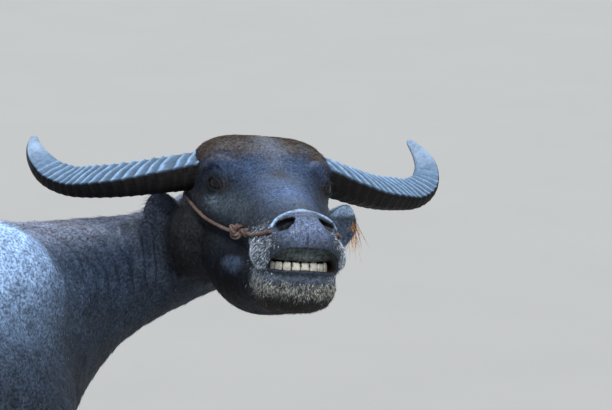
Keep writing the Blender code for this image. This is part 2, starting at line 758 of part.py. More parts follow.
def lid_ring(side):
    """The two lids, an almond ring round the eye that stands a little proud of it."""
    rings = []
    out = Vector((0.50, side * 0.86, 0.06)).normalized()
    along = Vector((0, 0, 1)).cross(out).normalized()
    up = out.cross(along)
    for a in np.linspace(0, 2 * math.pi, 22)[:-1]:
        open_up = 0.0115 if math.sin(a) > 0 else 0.0090
        at = along * 0.0205 * math.cos(a) + up * open_up * math.sin(a)
        lift = math.sqrt(max((EYE_RADIUS + 0.0015) ** 2 - at.length_squared, 0.00003))
        rings.append((Vector((EYE.x, side * EYE.y, EYE.z)) + at + out * lift, at.normalized(), out))
    bm = bmesh.new()
    loops = []
    for middle, outward, face in rings:
        loops.append([
            bm.verts.new(middle + outward * 0.0045 * math.cos(t) + face * 0.0035 * math.sin(t))
            for t in np.linspace(0, 2 * math.pi, 6, endpoint=False)
        ])
    for a, b in zip(loops, loops[1:] + loops[:1]):
        for i in range(6):
            j = (i + 1) % 6
            bm.faces.new((a[i], a[j], b[j], b[i]))
    bm.transform(HEAD)
    return facing_out(bm)


def grown_copy(obj, by):
    """A copy of a closed mesh with each point moved out along its normal."""
    copy = obj.copy()
    copy.data = obj.data.copy()
    bpy.context.scene.collection.objects.link(copy)
    normals = np.array([v.normal for v in copy.data.vertices])
    set_points(copy, points_of(copy) + normals * by)
    return copy


def socket(node, guest, gap=1.6 * GAP):
    """Cuts the guest's own place out of the node, with the thin gap all round."""
    boolean(node, grown_copy(guest, gap))
    keep_largest(node)


def tooth(at, turn, width, height, rng):
    """One rounded chisel tooth, its root sunk into the gum."""
    bm = block((-0.004, -width / 2 + 0.0003, -0.006), (0.004, width / 2 - 0.0003, height))
    bmesh.ops.bevel(bm, geom=bm.edges[:], offset=0.0022, segments=1, affect="EDGES")
    for vertex in bm.verts:
        if vertex.co.z > 0:
            vertex.co.x *= 0.72
    bm.transform(
        HEAD
        @ Matrix.Translation(at)
        @ Matrix.Rotation(turn + rng.uniform(-0.05, 0.05), 4, "Z")
        @ Matrix.Rotation(rng.uniform(-0.04, 0.04), 4, "X")
    )
    return bm


def union_all(node, shapes):
    """One Boolean union of the node with a collection of closed shapes."""
    group = bpy.data.collections.new("joined")
    bpy.context.scene.collection.children.link(group)
    for shape in shapes:
        obj = object_from("piece", shape)
        bpy.context.scene.collection.objects.unlink(obj)
        group.objects.link(obj)
    step = node.modifiers.new("join", "BOOLEAN")
    step.operation = "UNION"
    step.operand_type = "COLLECTION"
    step.collection = group
    apply_modifiers(node)
    for obj in list(group.objects):
        remove(obj)
    bpy.data.collections.remove(group)
    keep_largest(node)


def teeth():
    """Eight lower front teeth, broad in the middle and small at the ends."""
    rng = random.Random(5)
    shapes = []
    for side in (1, -1):
        reached = 0.0
        for width in TOOTH_WIDTHS:
            turn = side * (reached + width / 2) / TEETH_ARC_RADIUS
            reached += width
            at = Vector((TEETH_FRONT - TEETH_ARC_RADIUS * (1 - math.cos(turn)),
                         TEETH_ARC_RADIUS * math.sin(turn), MOUTH_Z))
            shapes.append(tooth(at, turn, width, TOOTH_HEIGHT * rng.uniform(0.88, 1.0), rng))
    return shapes


def tail(name):
    fine = read_smoothly(TAIL, 18)
    rings = []
    for i, (x, y, z, radius) in enumerate(fine):
        ahead = fine[min(i + 1, 17)][:3] - fine[max(i - 1, 0)][:3]
        along = Vector(ahead).normalized()
        across = Vector((0, 1, 0))
        up = across.cross(along).normalized()
        rings.append([
            Vector((x, y, z)) + (across * math.cos(a) + up * math.sin(a)) * radius
            for a in np.linspace(0, 2 * math.pi, 10, endpoint=False)
        ])
    return object_from(name, loft(rings))


def lock(root, lean, length, width, thick):
    """A flat lock that swells, tapers and bends down to its tip."""
    rings = []
    outward = Vector((math.cos(lean), math.sin(lean), 0))
    across = Vector((-outward.y, outward.x, 0))
    for share, wide in ((0.0, 0.6), (0.25, 1.0), (0.55, 0.8), (0.85, 0.4), (1.0, 0.08)):
        spread = 0.030 * math.sin(math.pi * min(share * 0.75, 1.0))
        middle = root + outward * spread - Vector((0, 0, length * share))
        rings.append([
            middle + across * width * wide * math.cos(a) + outward * thick * wide * math.sin(a)
            for a in np.linspace(0, 2 * math.pi, 5, endpoint=False)
        ])
    return loft(rings)


def tail_tuft(name):
    """The tail's switch of long locks round a short core."""
    rng = random.Random(11)
    x, y, _, radius = TAIL[-1]
    core = []
    for share, wide in ((0.0, 1.25), (0.1, 1.5), (0.3, 1.4), (0.5, 0.5)):
        core.append([
            Vector((x + wide * radius * math.cos(a), y + wide * radius * math.sin(a),
                    TUFT_TOP - TUFT_LENGTH * share))
            for a in np.linspace(0, 2 * math.pi, 10, endpoint=False)
        ])
    node = object_from(name, loft(core))
    shapes = []
    for i in range(TUFT_LOCKS):
        lean = 2.4 * i
        down = 0.010 + 0.085 * i / TUFT_LOCKS
        root = Vector((x + 0.012 * math.cos(lean), y + 0.012 * math.sin(lean), TUFT_TOP - down))
        shapes.append(lock(root, lean, TUFT_LENGTH * rng.uniform(0.75, 1.0) - down,
                           0.011, 0.0045))
    union_all(node, shapes)
    return node


def claw(name, forward, side, half, outside):
    """One of a hoof's two claws, flat below and open at the front of the cleft."""
    centre_y = side * (LEG_SPREAD + half)
    inner = CLAW_SLIT / 2
    lean = outside * side
    rows = (
        (0.000, 1.00, 0.000, 1.00),
        (0.022, 0.95, -0.006, 0.97),
        (0.048, 0.86, -0.014, 0.93),
        (HOOF_HEIGHT, 0.78, -0.018, 0.90),
    )
    rings = []
    for z, length, back, wide in rows:
        ring = []
        for a in np.linspace(-math.pi / 2, math.pi / 2, 11):
            reach = HOOF_LENGTH / 2 * length
            x = forward + HOOF_OFFSET + 0.006 + back + reach * math.sin(a)
            y = inner + CLAW_WIDTH * wide * max(math.cos(a), 0.0) ** 0.6
            ring.append(Vector((x, centre_y + lean * y, z)))
        rings.append(ring)
    return object_from(name, loft(rings))


def rope_points(tree):
    """The rope's line, laid on the skin by its own radius."""
    half = [Vector(p) for p in ROPE_ROUTE]
    route = half + [Vector((p.x, -p.y, p.z)) for p in reversed(half[:-1])]
    line = [Vector(p) for p in read_smoothly([tuple(p) for p in route], ROPE_STEPS)]
    laid = []
    for point in line:
        point = HEAD @ point
        near, normal, _, _ = tree.find_nearest(point)
        laid.append(near + normal * (ROPE_RADIUS + 0.0030))
    for _ in range(2):
        laid = [laid[0]] + [
            (laid[i - 1] + laid[i] * 2 + laid[i + 1]) / 4 for i in range(1, len(laid) - 1)
        ] + [laid[-1]]
    cleared = []
    for point in laid:
        near, normal, _, _ = tree.find_nearest(point)
        clear = ROPE_RADIUS + 0.0026
        if (point - near).dot(normal) < clear:
            point = near + normal * clear
        cleared.append(point)
    return cleared


def tube(points, radius, sides):
    rings = []
    for i, point in enumerate(points):
        along = (points[min(i + 1, len(points) - 1)] - points[max(i - 1, 0)]).normalized()
        if i == 0:
            across = along.orthogonal()
        across = (across - along * across.dot(along)).normalized()
        up = along.cross(across)
        rings.append([
            point + (across * math.cos(a) + up * math.sin(a)) * radius
            for a in np.linspace(0, 2 * math.pi, sides, endpoint=False)
        ])
    return loft(rings)


def nose_rope(skin_tree):
    """The worn rope loop, with its knot on the right cheek fused to it."""
    points = rope_points(skin_tree)
    node = object_from("nose_rope", tube(points, ROPE_RADIUS, 6))
    knot = HEAD @ KNOT
    near, normal, _, _ = skin_tree.find_nearest(knot)
    centre = near + normal * (KNOT_RADIUS * 0.8 + 0.002)
    along = min(range(1, len(points) - 1), key=lambda i: (points[i] - centre).length)
    way = (points[along + 1] - points[along - 1]).normalized()
    turned = way.to_track_quat("X", "Z").to_matrix().to_4x4()
    lump = ball((0, 0, 0), (KNOT_RADIUS * 1.05, KNOT_RADIUS * 0.8, KNOT_RADIUS), 0, 14)
    lump.transform(Matrix.Translation(centre) @ turned)
    union_all(node, [lump])
    return node


def build():
    for obj in list(bpy.data.objects):
        bpy.data.objects.remove(obj)
    flesh = body_flesh()
    lids = [lid_ring(1), lid_ring(-1)]
    thin_out(flesh)
    union_all(flesh, lids)
    tail("tail")
    socket(flesh, bpy.data.objects["tail"])
    skin_tree = BVHTree.FromObject(flesh, bpy.context.evaluated_depsgraph_get())
    nodes = part_flesh(flesh)
    for name, side, table in (("right", -1, RIGHT_HORN), ("left", 1, LEFT_HORN)):
        socket(nodes["head"], horn("horn_" + name, table))
        hearing = ear("ear_" + name, side)
        for near in ("head", "neck"):
            socket(nodes[near], hearing, 3.5 * GAP)
        socket(nodes["head"], eyeball("eye_" + name, side))
    row = teeth()
    for shape in row:
        single = object_from("tooth", shape.copy())
        socket(nodes["head"], single, 3 * GAP)
        remove(single)
    union_all(nodes["lower_jaw"], row)
    tail_tuft("tail_tuft")
    for name, table, forward, side, _, _ in LEGS:
        half = table[-1][1]
        for outside in (1, -1):
            label = "outer" if outside > 0 else "inner"
            claw(name.replace("leg", "claw") + "_" + label, forward, side, half, outside)
    nose_rope(skin_tree)
    centre_on_floor()
    for obj in bpy.data.objects:
        dress(obj)


def centre_on_floor():
    """Moves everything so that the origin is on the floor under the middle of its box."""
    points = np.concatenate([points_of(obj) for obj in bpy.data.objects])
    middle = Vector((points.min(axis=0) + points.max(axis=0)) / 2)
    middle.z = points[:, 2].min()
    for obj in bpy.data.objects:
        obj.data.transform(Matrix.Translation(-middle))


build()
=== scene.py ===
"""The looks of a life-size swamp water buffalo that stands with its head turned back to its right.

Metres, +Z up. Shapes are made in the body's own frame, where x = 0 is mid-trunk, and moved at the
end by MOVE, which is read from the frame's eyes. The head has its own frame: x from the poll to
the nose, y to the animal's left, z to the brow.
"""

import math
import random

import bmesh
import bpy
import numpy as np
from mathutils import Matrix, Vector
from mathutils.bvhtree import BVHTree


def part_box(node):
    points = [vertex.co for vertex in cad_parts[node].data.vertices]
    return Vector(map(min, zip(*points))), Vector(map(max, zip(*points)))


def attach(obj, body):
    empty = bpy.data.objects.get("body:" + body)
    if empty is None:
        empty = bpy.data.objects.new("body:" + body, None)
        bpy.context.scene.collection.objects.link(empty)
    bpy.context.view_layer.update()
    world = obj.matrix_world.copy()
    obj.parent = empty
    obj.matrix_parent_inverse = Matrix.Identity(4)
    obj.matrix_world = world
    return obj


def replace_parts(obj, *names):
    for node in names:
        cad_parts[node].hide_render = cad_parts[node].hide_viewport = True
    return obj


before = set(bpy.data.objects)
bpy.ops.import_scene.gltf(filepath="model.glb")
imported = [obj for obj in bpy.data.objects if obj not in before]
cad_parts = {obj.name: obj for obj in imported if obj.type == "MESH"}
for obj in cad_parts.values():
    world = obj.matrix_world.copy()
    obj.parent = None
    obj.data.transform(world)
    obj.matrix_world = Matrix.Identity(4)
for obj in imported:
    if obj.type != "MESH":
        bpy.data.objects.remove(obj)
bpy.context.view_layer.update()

# The animal's left and right as signs of y
SIDES = (1, -1)

# Sizes of the cells that fuse the body's rough shape, the head and the whole skin
ROUGH = 0.0048
HEAD_FINE = 0.0026
FINE = 0.0032
# Faces of the skin, how strongly the plain parts give theirs up, and faces of its rough unwrap
SKIN_FACES = 330000
HEAD_KEEP = 0.01
UNWRAP_FACES = 9000
# How far the skin is drawn in under the coat, and how wide a hair's patch on the unwrap is
COAT_DEPTH = 0.001
PATCH = 0.003
# How deep the hairs' roots sit in the skin
LONG_ROOT = 0.0012
SHORT_ROOT = 0.0006

# The head's place: the point midway between the eyes, and how far it turns, lifts and rolls
EYES_AT = Vector((0.964, -0.322, 1.3))
HEAD_TURN = math.radians(-119.5)
HEAD_LIFT = math.radians(9.6)
HEAD_ROLL = math.radians(-5.8)

# Places on the head, in its own frame
EYE = Vector((0.165, 0.091, -0.028))
EYE_RADIUS = 0.0205
EYE_BULGE = 0.0016
LID_RADIUS = 0.0264
EYE_OPENING = (0.0178, 0.0104)
NOSTRIL = Vector((0.47, 0.041, -0.081))
MOUTH_Z = -0.157
HEAD_MIDDLE = (0.22, 0, -0.05)

# Along the trunk and neck: x, y, heading in degrees, top, widest height, bottom, half width,
# and how square the upper and lower halves of the section are
TRUNK = (
    (-0.795, 0.0, 0, 1.15, 1.08, 1.01, 0.07, 2.0, 2.0),
    (-0.765, 0.0, 0, 1.195, 1.08, 0.94, 0.13, 2.0, 2.0),
    (-0.7, 0.0, 0, 1.236, 1.07, 0.85, 0.185, 2.0, 2.2),
    (-0.58, 0.0, 0, 1.268, 1.06, 0.74, 0.23, 1.9, 2.2),
    (-0.44, 0.0, 0, 1.275, 1.05, 0.66, 0.262, 1.8, 2.2),
    (-0.28, 0.0, 0, 1.255, 0.98, 0.59, 0.3, 1.8, 2.2),
    (-0.1, 0.0, 0, 1.243, 0.93, 0.55, 0.338, 1.9, 2.2),
    (0.08, 0.0, 0, 1.243, 0.93, 0.548, 0.342, 1.9, 2.2),
    (0.24, 0.0, 0, 1.262, 0.95, 0.568, 0.3, 1.8, 2.1),
    (0.36, 0.0, 0, 1.283, 0.98, 0.598, 0.25, 1.7, 2.1),
    (0.46, 0.0, 0, 1.279, 1.0, 0.622, 0.214, 1.7, 2.1),
    (0.56, 0.006, 3, 1.25, 1.01, 0.668, 0.176, 1.9, 2.0),
    (0.65, 0.014, 4, 1.226, 1.04, 0.745, 0.148, 2.2, 2.0),
    (0.734, 0.02, 2, 1.212, 1.085, 0.85, 0.127, 2.5, 2.0),
    (0.8, 0.022, -2, 1.203, 1.09, 0.915, 0.12, 2.6, 2.0),
    (0.86, 0.018, -10, 1.195, 1.09, 0.955, 0.115, 2.6, 2.0),
    (0.922, 0.005, -20, 1.191, 1.09, 0.982, 0.112, 2.4, 2.0),
    (0.975, -0.018, -33, 1.212, 1.105, 1.0, 0.11, 2.2, 2.0),
    (1.02, -0.05, -50, 1.25, 1.135, 1.022, 0.108, 2.0, 2.0),
    (1.048, -0.095, -75, 1.3, 1.17, 1.05, 0.106, 2.0, 2.0),
    (1.052, -0.14, -100, 1.335, 1.205, 1.085, 0.1, 2.0, 2.0),
    (1.04, -0.18, -115, 1.335, 1.22, 1.11, 0.085, 2.0, 2.0),
)

# Down a leg: forward offset, outward offset, height, half length and half width
FORELEG = (
    (-0.09, 0.05, 1.17, 0.09, 0.045),
    (-0.05, 0.075, 1.06, 0.135, 0.075),
    (0.01, 0.095, 0.92, 0.145, 0.09),
    (0.04, 0.098, 0.8, 0.13, 0.09),
    (0.02, 0.09, 0.7, 0.108, 0.082),
    (0.0, 0.08, 0.61, 0.083, 0.068),
    (-0.008, 0.072, 0.51, 0.063, 0.055),
    (-0.008, 0.07, 0.43, 0.051, 0.047),
    (0.0, 0.07, 0.365, 0.055, 0.053),
    (-0.002, 0.07, 0.31, 0.045, 0.044),
    (-0.006, 0.07, 0.23, 0.037, 0.035),
    (-0.008, 0.07, 0.17, 0.04, 0.038),
    (-0.004, 0.07, 0.135, 0.046, 0.045),
    (0.01, 0.07, 0.1, 0.043, 0.045),
    (0.026, 0.07, 0.07, 0.052, 0.053),
    (0.034, 0.07, 0.04, 0.05, 0.052),
)
HINDLEG = (
    (0.11, 0.05, 1.19, 0.11, 0.06),
    (0.08, 0.07, 1.08, 0.2, 0.095),
    (0.065, 0.088, 0.95, 0.222, 0.112),
    (0.075, 0.094, 0.82, 0.192, 0.108),
    (0.07, 0.088, 0.7, 0.142, 0.088),
    (0.026, 0.077, 0.598, 0.09, 0.064),
    (-0.03, 0.07, 0.515, 0.063, 0.05),
    (-0.048, 0.068, 0.46, 0.058, 0.046),
    (-0.04, 0.068, 0.4, 0.048, 0.041),
    (-0.025, 0.068, 0.31, 0.04, 0.037),
    (-0.01, 0.068, 0.215, 0.038, 0.036),
    (-0.004, 0.068, 0.165, 0.041, 0.039),
    (0.0, 0.068, 0.135, 0.047, 0.046),
    (0.012, 0.068, 0.1, 0.043, 0.045),
    (0.026, 0.068, 0.07, 0.051, 0.052),
    (0.034, 0.068, 0.04, 0.049, 0.051),
)
# Each leg: name, table, forward place and side
LEGS = (
    ("foreleg_right", FORELEG, 0.44, -1),
    ("foreleg_left", FORELEG, 0.385, 1),
    ("hindleg_right", HINDLEG, -0.6, -1),
    ("hindleg_left", HINDLEG, -0.535, 1),
)
# Half the distance between a pair of legs, and the shape of the hooves
LEG_SPREAD = 0.105
HOOF_HEIGHT = 0.072
HOOF_LENGTH = 0.135
CLAW_WIDTH = 0.058
CLAW_SLIT = 0.007
HOOF_OFFSET = 0.034
# Up a claw: height, share of the length, how far back, and share of the width
CLAW = (
    (0.0, 0.96, 0.0, 0.96),
    (0.004, 1.0, 0.0, 1.0),
    (0.022, 0.95, -0.006, 0.97),
    (0.048, 0.86, -0.014, 0.93),
    (0.066, 0.79, -0.018, 0.91),
    (HOOF_HEIGHT, 0.72, -0.018, 0.84),
)

# Rounded masses of bone and muscle: centre, half sizes and lean in degrees, each on both sides
MASSES = (
    ((0.44, 0.095, 1.085), (0.225, 0.108, 0.19), -10),
    ((0.5, 0.118, 0.96), (0.15, 0.1, 0.2), -22),
    ((0.47, 0.13, 0.82), (0.12, 0.09, 0.15), -5),
    ((-0.43, 0.17, 1.15), (0.11, 0.07, 0.08), 15),
    ((-0.62, 0.115, 1.02), (0.155, 0.09, 0.18), 0),
    ((-0.3, 0.13, 0.76), (0.2, 0.11, 0.15), 0),
)
# The folded skin where the neck bends, on the right only: centre in the head's frame and half sizes
THROAT_FOLDS = (
    ((-0.005, -0.076, -0.13), (0.095, 0.08, 0.092)),
    ((-0.085, -0.06, -0.15), (0.09, 0.075, 0.085)),
)

# Along the upper head: x, top, widest height, bottom, half width, squareness above and below
SKULL = (
    (-0.065, 0.01, -0.05, -0.12, 0.06, 2.0, 2.0),
    (-0.035, 0.042, -0.045, -0.145, 0.102, 2.4, 2.0),
    (0.0, 0.056, -0.038, -0.155, 0.12, 3.0, 2.2),
    (0.04, 0.061, -0.032, -0.158, 0.125, 3.2, 2.2),
    (0.085, 0.06, -0.028, -0.16, 0.122, 3.1, 2.2),
    (0.13, 0.051, -0.026, -0.16, 0.116, 2.9, 2.2),
    (0.17, 0.037, -0.045, -0.16, 0.106, 2.6, 2.2),
    (0.215, 0.014, -0.07, -0.16, 0.093, 2.0, 2.2),
    (0.275, -0.01, -0.088, -0.158, 0.08, 1.9, 2.2),
    (0.34, -0.03, -0.102, -0.16, 0.074, 1.8, 2.3),
    (0.39, -0.043, -0.124, -0.17, 0.076, 1.7, 2.4),
    (0.425, -0.05, -0.136, -0.176, 0.078, 1.6, 2.4),
    (0.452, -0.056, -0.134, -0.174, 0.073, 1.6, 2.4),
    (0.472, -0.064, -0.126, -0.164, 0.062, 1.7, 2.3),
    (0.486, -0.077, -0.116, -0.148, 0.044, 1.9, 2.0),
    (0.491, -0.092, -0.112, -0.132, 0.023, 2.0, 2.0),
)
# Along the lower jaw, in the same columns
JAW = (
    (-0.01, -0.095, -0.13, -0.17, 0.06, 2.0, 2.0),
    (0.03, -0.08, -0.14, -0.228, 0.094, 2.0, 2.0),
    (0.09, -0.08, -0.148, -0.257, 0.105, 2.0, 2.0),
    (0.16, -0.09, -0.158, -0.262, 0.1, 2.0, 2.1),
    (0.235, -0.11, -0.17, -0.256, 0.086, 2.0, 2.2),
    (0.3, -0.125, -0.176, -0.247, 0.077, 2.0, 2.3),
    (0.355, -0.132, -0.182, -0.241, 0.073, 2.0, 2.4),
    (0.395, -0.136, -0.184, -0.239, 0.073, 2.3, 2.4),
    (0.428, -0.142, -0.185, -0.234, 0.069, 2.6, 2.3),
    (0.45, -0.149, -0.184, -0.225, 0.059, 2.6, 2.2),
    (0.463, -0.157, -0.184, -0.213, 0.044, 2.3, 2.0),
    (0.469, -0.167, -0.184, -0.202, 0.025, 2.0, 2.0),
)
# The opening of the lips: x, half width, top
MOUTH = (
    (0.388, 0.04, -0.15),
    (0.406, 0.054, -0.138),
    (0.428, 0.059, -0.126),
    (0.455, 0.06, -0.119),
    (0.49, 0.061, -0.117),
    (0.53, 0.062, -0.115),
)
# Soft swellings and hollows on the head: centre, reach and push, each on both sides
SWELLINGS = (
    ((0.145, 0.1, 0.012), 0.034, (0.0, 0.005, 0.009)),
    ((0.12, 0.1, -0.085), 0.055, (0.0, 0.008, 0.0)),
    ((0.19, 0.1, -0.07), 0.028, (0.0, 0.004, 0.0)),
    ((0.215, 0.085, -0.025), 0.028, (0.0, -0.004, 0.0)),
    ((0.27, 0.08, -0.095), 0.04, (0.0, -0.006, 0.0)),
    ((0.3, 0.085, -0.16), 0.026, (0.0, 0.009, 0.0)),
    ((0.452, 0.05, -0.07), 0.02, (0.004, 0.002, 0.005)),
    ((0.42, 0.076, -0.128), 0.034, (0.0, 0.007, 0.0)),
    ((0.165, 0.108, -0.028), 0.026, (-0.001, -0.005, 0.0)),
    ((0.24, 0.0, 0.008), 0.04, (0.0, 0.0, -0.004)),
)

# Along each horn: x, y, z in the head's frame and half thickness
RIGHT_HORN = (
    (0.05, -0.07, 0.0, 0.039),
    (0.044, -0.126, -0.01, 0.037),
    (0.03, -0.192, -0.024, 0.034),
    (0.0, -0.246, -0.036, 0.032),
    (-0.04, -0.297, -0.044, 0.03),
    (-0.075, -0.333, -0.045, 0.028),
    (-0.11, -0.362, -0.034, 0.026),
    (-0.14, -0.38, -0.014, 0.021),
    (-0.168, -0.388, 0.008, 0.014),
    (-0.19, -0.386, 0.03, 0.005),
)
LEFT_HORN = (
    (0.05, 0.07, 0.0, 0.039),
    (0.04, 0.13, -0.008, 0.037),
    (0.01, 0.192, -0.024, 0.035),
    (-0.035, 0.249, -0.036, 0.033),
    (-0.085, 0.302, -0.04, 0.031),
    (-0.125, 0.345, -0.038, 0.029),
    (-0.165, 0.378, -0.022, 0.026),
    (-0.2, 0.391, 0.006, 0.021),
    (-0.23, 0.385, 0.032, 0.014),
    (-0.258, 0.366, 0.06, 0.005),
)
# Growth ridges of a horn: how many, along what share of it, and how deep
HORN_RIDGES = 19
HORN_RIDGED_SHARE = 0.66
HORN_RIDGE_DEPTH = 0.085
# A horn's section, keel first, ahead and up in half thicknesses, and its twist from root to tip
HORN_SECTION = (
    (1.16, 0.02),
    (0.72, 0.4),
    (0.16, 0.8),
    (-0.38, 1.0),
    (-0.84, 0.72),
    (-1.0, 0.1),
    (-0.86, -0.58),
    (-0.36, -0.96),
    (0.24, -1.0),
    (0.74, -0.86),
    (1.02, -0.44),
    (1.16, 0.02),
)
HORN_TWIST = (22, 15, 6, -6, -28, -52, -66)
# Points round a horn, rings along it, and how far its ridges lean to the root
HORN_FINE = 60
HORN_RINGS = 320
HORN_LEAN = 0.8

# The ears: where they root and where each tip is, in the head's frame, the right one mirrored
EAR_ROOT = Vector((0.02, 0.098, -0.102))
EAR_TIPS = {"right": Vector((-0.08, 0.186, -0.102)), "left": Vector((-0.09, 0.228, -0.116))}
EAR_HALF_WIDTH = 0.052
EAR_WALL = 0.006
# How far round its root an ear's joint is softened
EAR_SOFT = 0.045
# Along the ear, root to tip: share of its length, of its half width, and how far it curls
EAR_SHAPE = (
    (0.0, 0.38, 1.9),
    (0.12, 0.44, 1.8),
    (0.25, 0.66, 1.5),
    (0.42, 0.92, 1.1),
    (0.58, 1.0, 0.9),
    (0.74, 0.9, 0.8),
    (0.88, 0.62, 0.8),
    (0.97, 0.3, 0.8),
    (1.0, 0.1, 0.8),
)

# Down the tail: x, y, z, radius
TAIL = (
    (-0.77, 0.0, 1.15, 0.034),
    (-0.815, 0.0, 1.135, 0.032),
    (-0.85, 0.002, 1.08, 0.027),
    (-0.868, 0.004, 0.98, 0.021),
    (-0.872, 0.006, 0.86, 0.017),
    (-0.868, 0.008, 0.74, 0.014),
    (-0.862, 0.01, 0.64, 0.012),
)
# The tail's switch of long hair
TUFT_TOP = 0.6385
TUFT_LENGTH = 0.27
TUFT_HAIRS = 900
TUFT_LEVELS = 7
TUFT_BROWN = np.array((0.03, 0.022, 0.017))

# The nose rope on the head, from the right nostril to the nape, mirrored to the left
ROPE_RADIUS = 0.0035
ROPE_FINE = 620
# The length of one twist, and how far out and how thick its strands are in the rope's radius
ROPE_TWIST = 0.016
STRAND_OUT = 0.48
STRAND_THICK = 0.56
ROPE_ROUTE = (
    (0.456, -0.054, -0.093),
    (0.425, -0.072, -0.099),
    (0.37, -0.08, -0.104),
    (0.3, -0.09, -0.104),
    (0.235, -0.1, -0.112),
    (0.16, -0.11, -0.098),
    (0.1, -0.12, -0.078),
    (0.045, -0.122, -0.067),
    (0.005, -0.118, -0.064),
    (-0.025, -0.106, -0.036),
    (-0.042, -0.08, 0.004),
    (-0.05, -0.04, 0.03),
    (-0.052, 0.0, 0.036),
)
KNOT = Vector((0.274, -0.094, -0.107))
SMALL_KNOT = Vector((0.335, -0.087, -0.103))
# The strands of the knots: place, size, thickness and roll about the rope
KNOTS = (
    (KNOT, 0.0088, 0.003, 0.0),
    (KNOT, 0.0076, 0.003, 1.1),
    (KNOT, 0.0098, 0.0022, 2.3),
    (SMALL_KNOT, 0.0048, 0.0024, 0.0),
    (SMALL_KNOT, 0.0042, 0.0024, 1.4),
)

# The lower front teeth, a curved row of eight: widths from the middle out, height, depth, how deep
# they sit, the dark gaps between them, and the curve they stand on
TOOTH_WIDTHS = (0.0158, 0.0153, 0.0147, 0.0085)
TOOTH_HEIGHT = 0.0135
TOOTH_DEPTH = 0.0082
TOOTH_SUNK = 0.006
TOOTH_GAPS = (-0.0158, 0.0, 0.0158)
TEETH_ARC_RADIUS = 0.076
TEETH_FRONT = 0.443

# Folds of the skin on the right of the neck: points in the body's frame, width and depth
NECK_FOLDS = (
    (((0.675, -0.028, 1.215), (0.7, -0.06, 1.197), (0.711, -0.092, 1.16),
      (0.715, -0.11, 1.09)), 0.009, 0.006),
    (((0.707, -0.047, 1.203), (0.716, -0.076, 1.183), (0.73, -0.094, 1.15),
      (0.738, -0.11, 1.08)), 0.006, 0.0035),
    (((0.726, -0.04, 1.203), (0.748, -0.076, 1.175), (0.765, -0.096, 1.135),
      (0.772, -0.108, 1.07)), 0.007, 0.005),
    (((0.765, -0.012, 1.204), (0.774, -0.06, 1.185), (0.791, -0.09, 1.142),
      (0.8, -0.1, 1.08)), 0.007, 0.0055),
    (((0.791, -0.02, 1.199), (0.792, -0.075, 1.17), (0.808, -0.095, 1.13)), 0.005, 0.003),
    (((0.833, -0.005, 1.196), (0.823, -0.06, 1.176), (0.828, -0.09, 1.14),
      (0.835, -0.1, 1.07)), 0.008, 0.0075),
    (((0.876, -0.005, 1.192), (0.846, -0.05, 1.181), (0.84, -0.078, 1.158),
      (0.842, -0.095, 1.12)), 0.007, 0.008),
    (((0.905, -0.025, 1.19), (0.88, -0.062, 1.172), (0.864, -0.088, 1.14),
      (0.858, -0.105, 1.08)), 0.007, 0.009),
    (((0.918, -0.045, 1.185), (0.892, -0.08, 1.158), (0.882, -0.098, 1.12),
      (0.88, -0.11, 1.06)), 0.005, 0.0045),
    (((0.925, -0.065, 1.185), (0.906, -0.098, 1.155), (0.91, -0.112, 1.11),
      (0.915, -0.12, 1.05)), 0.007, 0.008),
)
# Long shallow creases on the shoulder, right side, mirrored to the left
SHOULDER_FOLDS = (
    (((0.64, -0.062, 1.207), (0.665, -0.094, 1.173), (0.698, -0.106, 1.139),
      (0.72, -0.112, 1.08)), 0.005, 0.0026),
    (((0.56, -0.11, 1.215), (0.6, -0.145, 1.17), (0.625, -0.16, 1.12),
      (0.64, -0.165, 1.06)), 0.006, 0.0024),
    (((0.484, -0.168, 1.215), (0.499, -0.182, 1.19), (0.53, -0.198, 1.14),
      (0.56, -0.2, 1.07)), 0.006, 0.002),
    (((0.43, -0.19, 1.18), (0.45, -0.212, 1.11), (0.47, -0.222, 1.03),
      (0.48, -0.225, 0.96)), 0.008, 0.0026),
)
# Creases of the face on the right, in the head's frame, mirrored to the left
FACE_FOLDS = (
    (((0.14, -0.098, 0.004), (0.165, -0.102, 0.002), (0.192, -0.093, -0.008)), 0.003, 0.0022),
    (((0.14, -0.11, -0.052), (0.165, -0.113, -0.058), (0.195, -0.103, -0.05)), 0.003, 0.0018),
    (((0.14, -0.113, -0.07), (0.165, -0.114, -0.078), (0.195, -0.106, -0.078)), 0.003, 0.001),
    (((0.452, -0.066, -0.088), (0.43, -0.075, -0.104), (0.405, -0.077, -0.126)), 0.004, 0.0026),
    (((0.44, -0.06, -0.076), (0.415, -0.069, -0.086), (0.385, -0.072, -0.096)), 0.004, 0.0022),
    (((0.4, -0.076, -0.128), (0.392, -0.079, -0.15), (0.385, -0.076, -0.175)), 0.004, 0.0024),
    (((0.44, -0.04, -0.058), (0.42, -0.05, -0.056), (0.395, -0.058, -0.064)), 0.0035, 0.0014),
)

# The bony arch over the right eye, raised, and the hollow under it, mirrored to the left
BROW_ARCH = (
    (((0.118, -0.121, -0.012), (0.14, -0.116, 0.006), (0.16, -0.106, 0.017), (0.182, -0.086, 0.018),
      (0.208, -0.066, 0.004)), 0.0085, -0.0034),
    (((0.128, -0.122, -0.022), (0.145, -0.118, -0.006), (0.168, -0.108, 0.002), (0.192, -0.096, -0.006),
      (0.206, -0.09, -0.022)), 0.006, 0.002),
)

# The thick rim of skin over the nostrils, in the head's frame, mirrored
NOSE_RIM = (
    (0.437, 0.0, -0.059),
    (0.437, 0.018, -0.0605),
    (0.4405, 0.033, -0.0655),
    (0.446, 0.044, -0.071),
    (0.45, 0.052, -0.079),
    (0.448, 0.058, -0.089),
)
NOSE_RIM_RADIUS = 0.0068

# Creases round each eye: distance from its middle, width and depth
LID_RINGS = ((0.015, 0.0016, 0.0013), (0.0205, 0.0018, 0.0008), (0.0265, 0.0026, 0.0006))

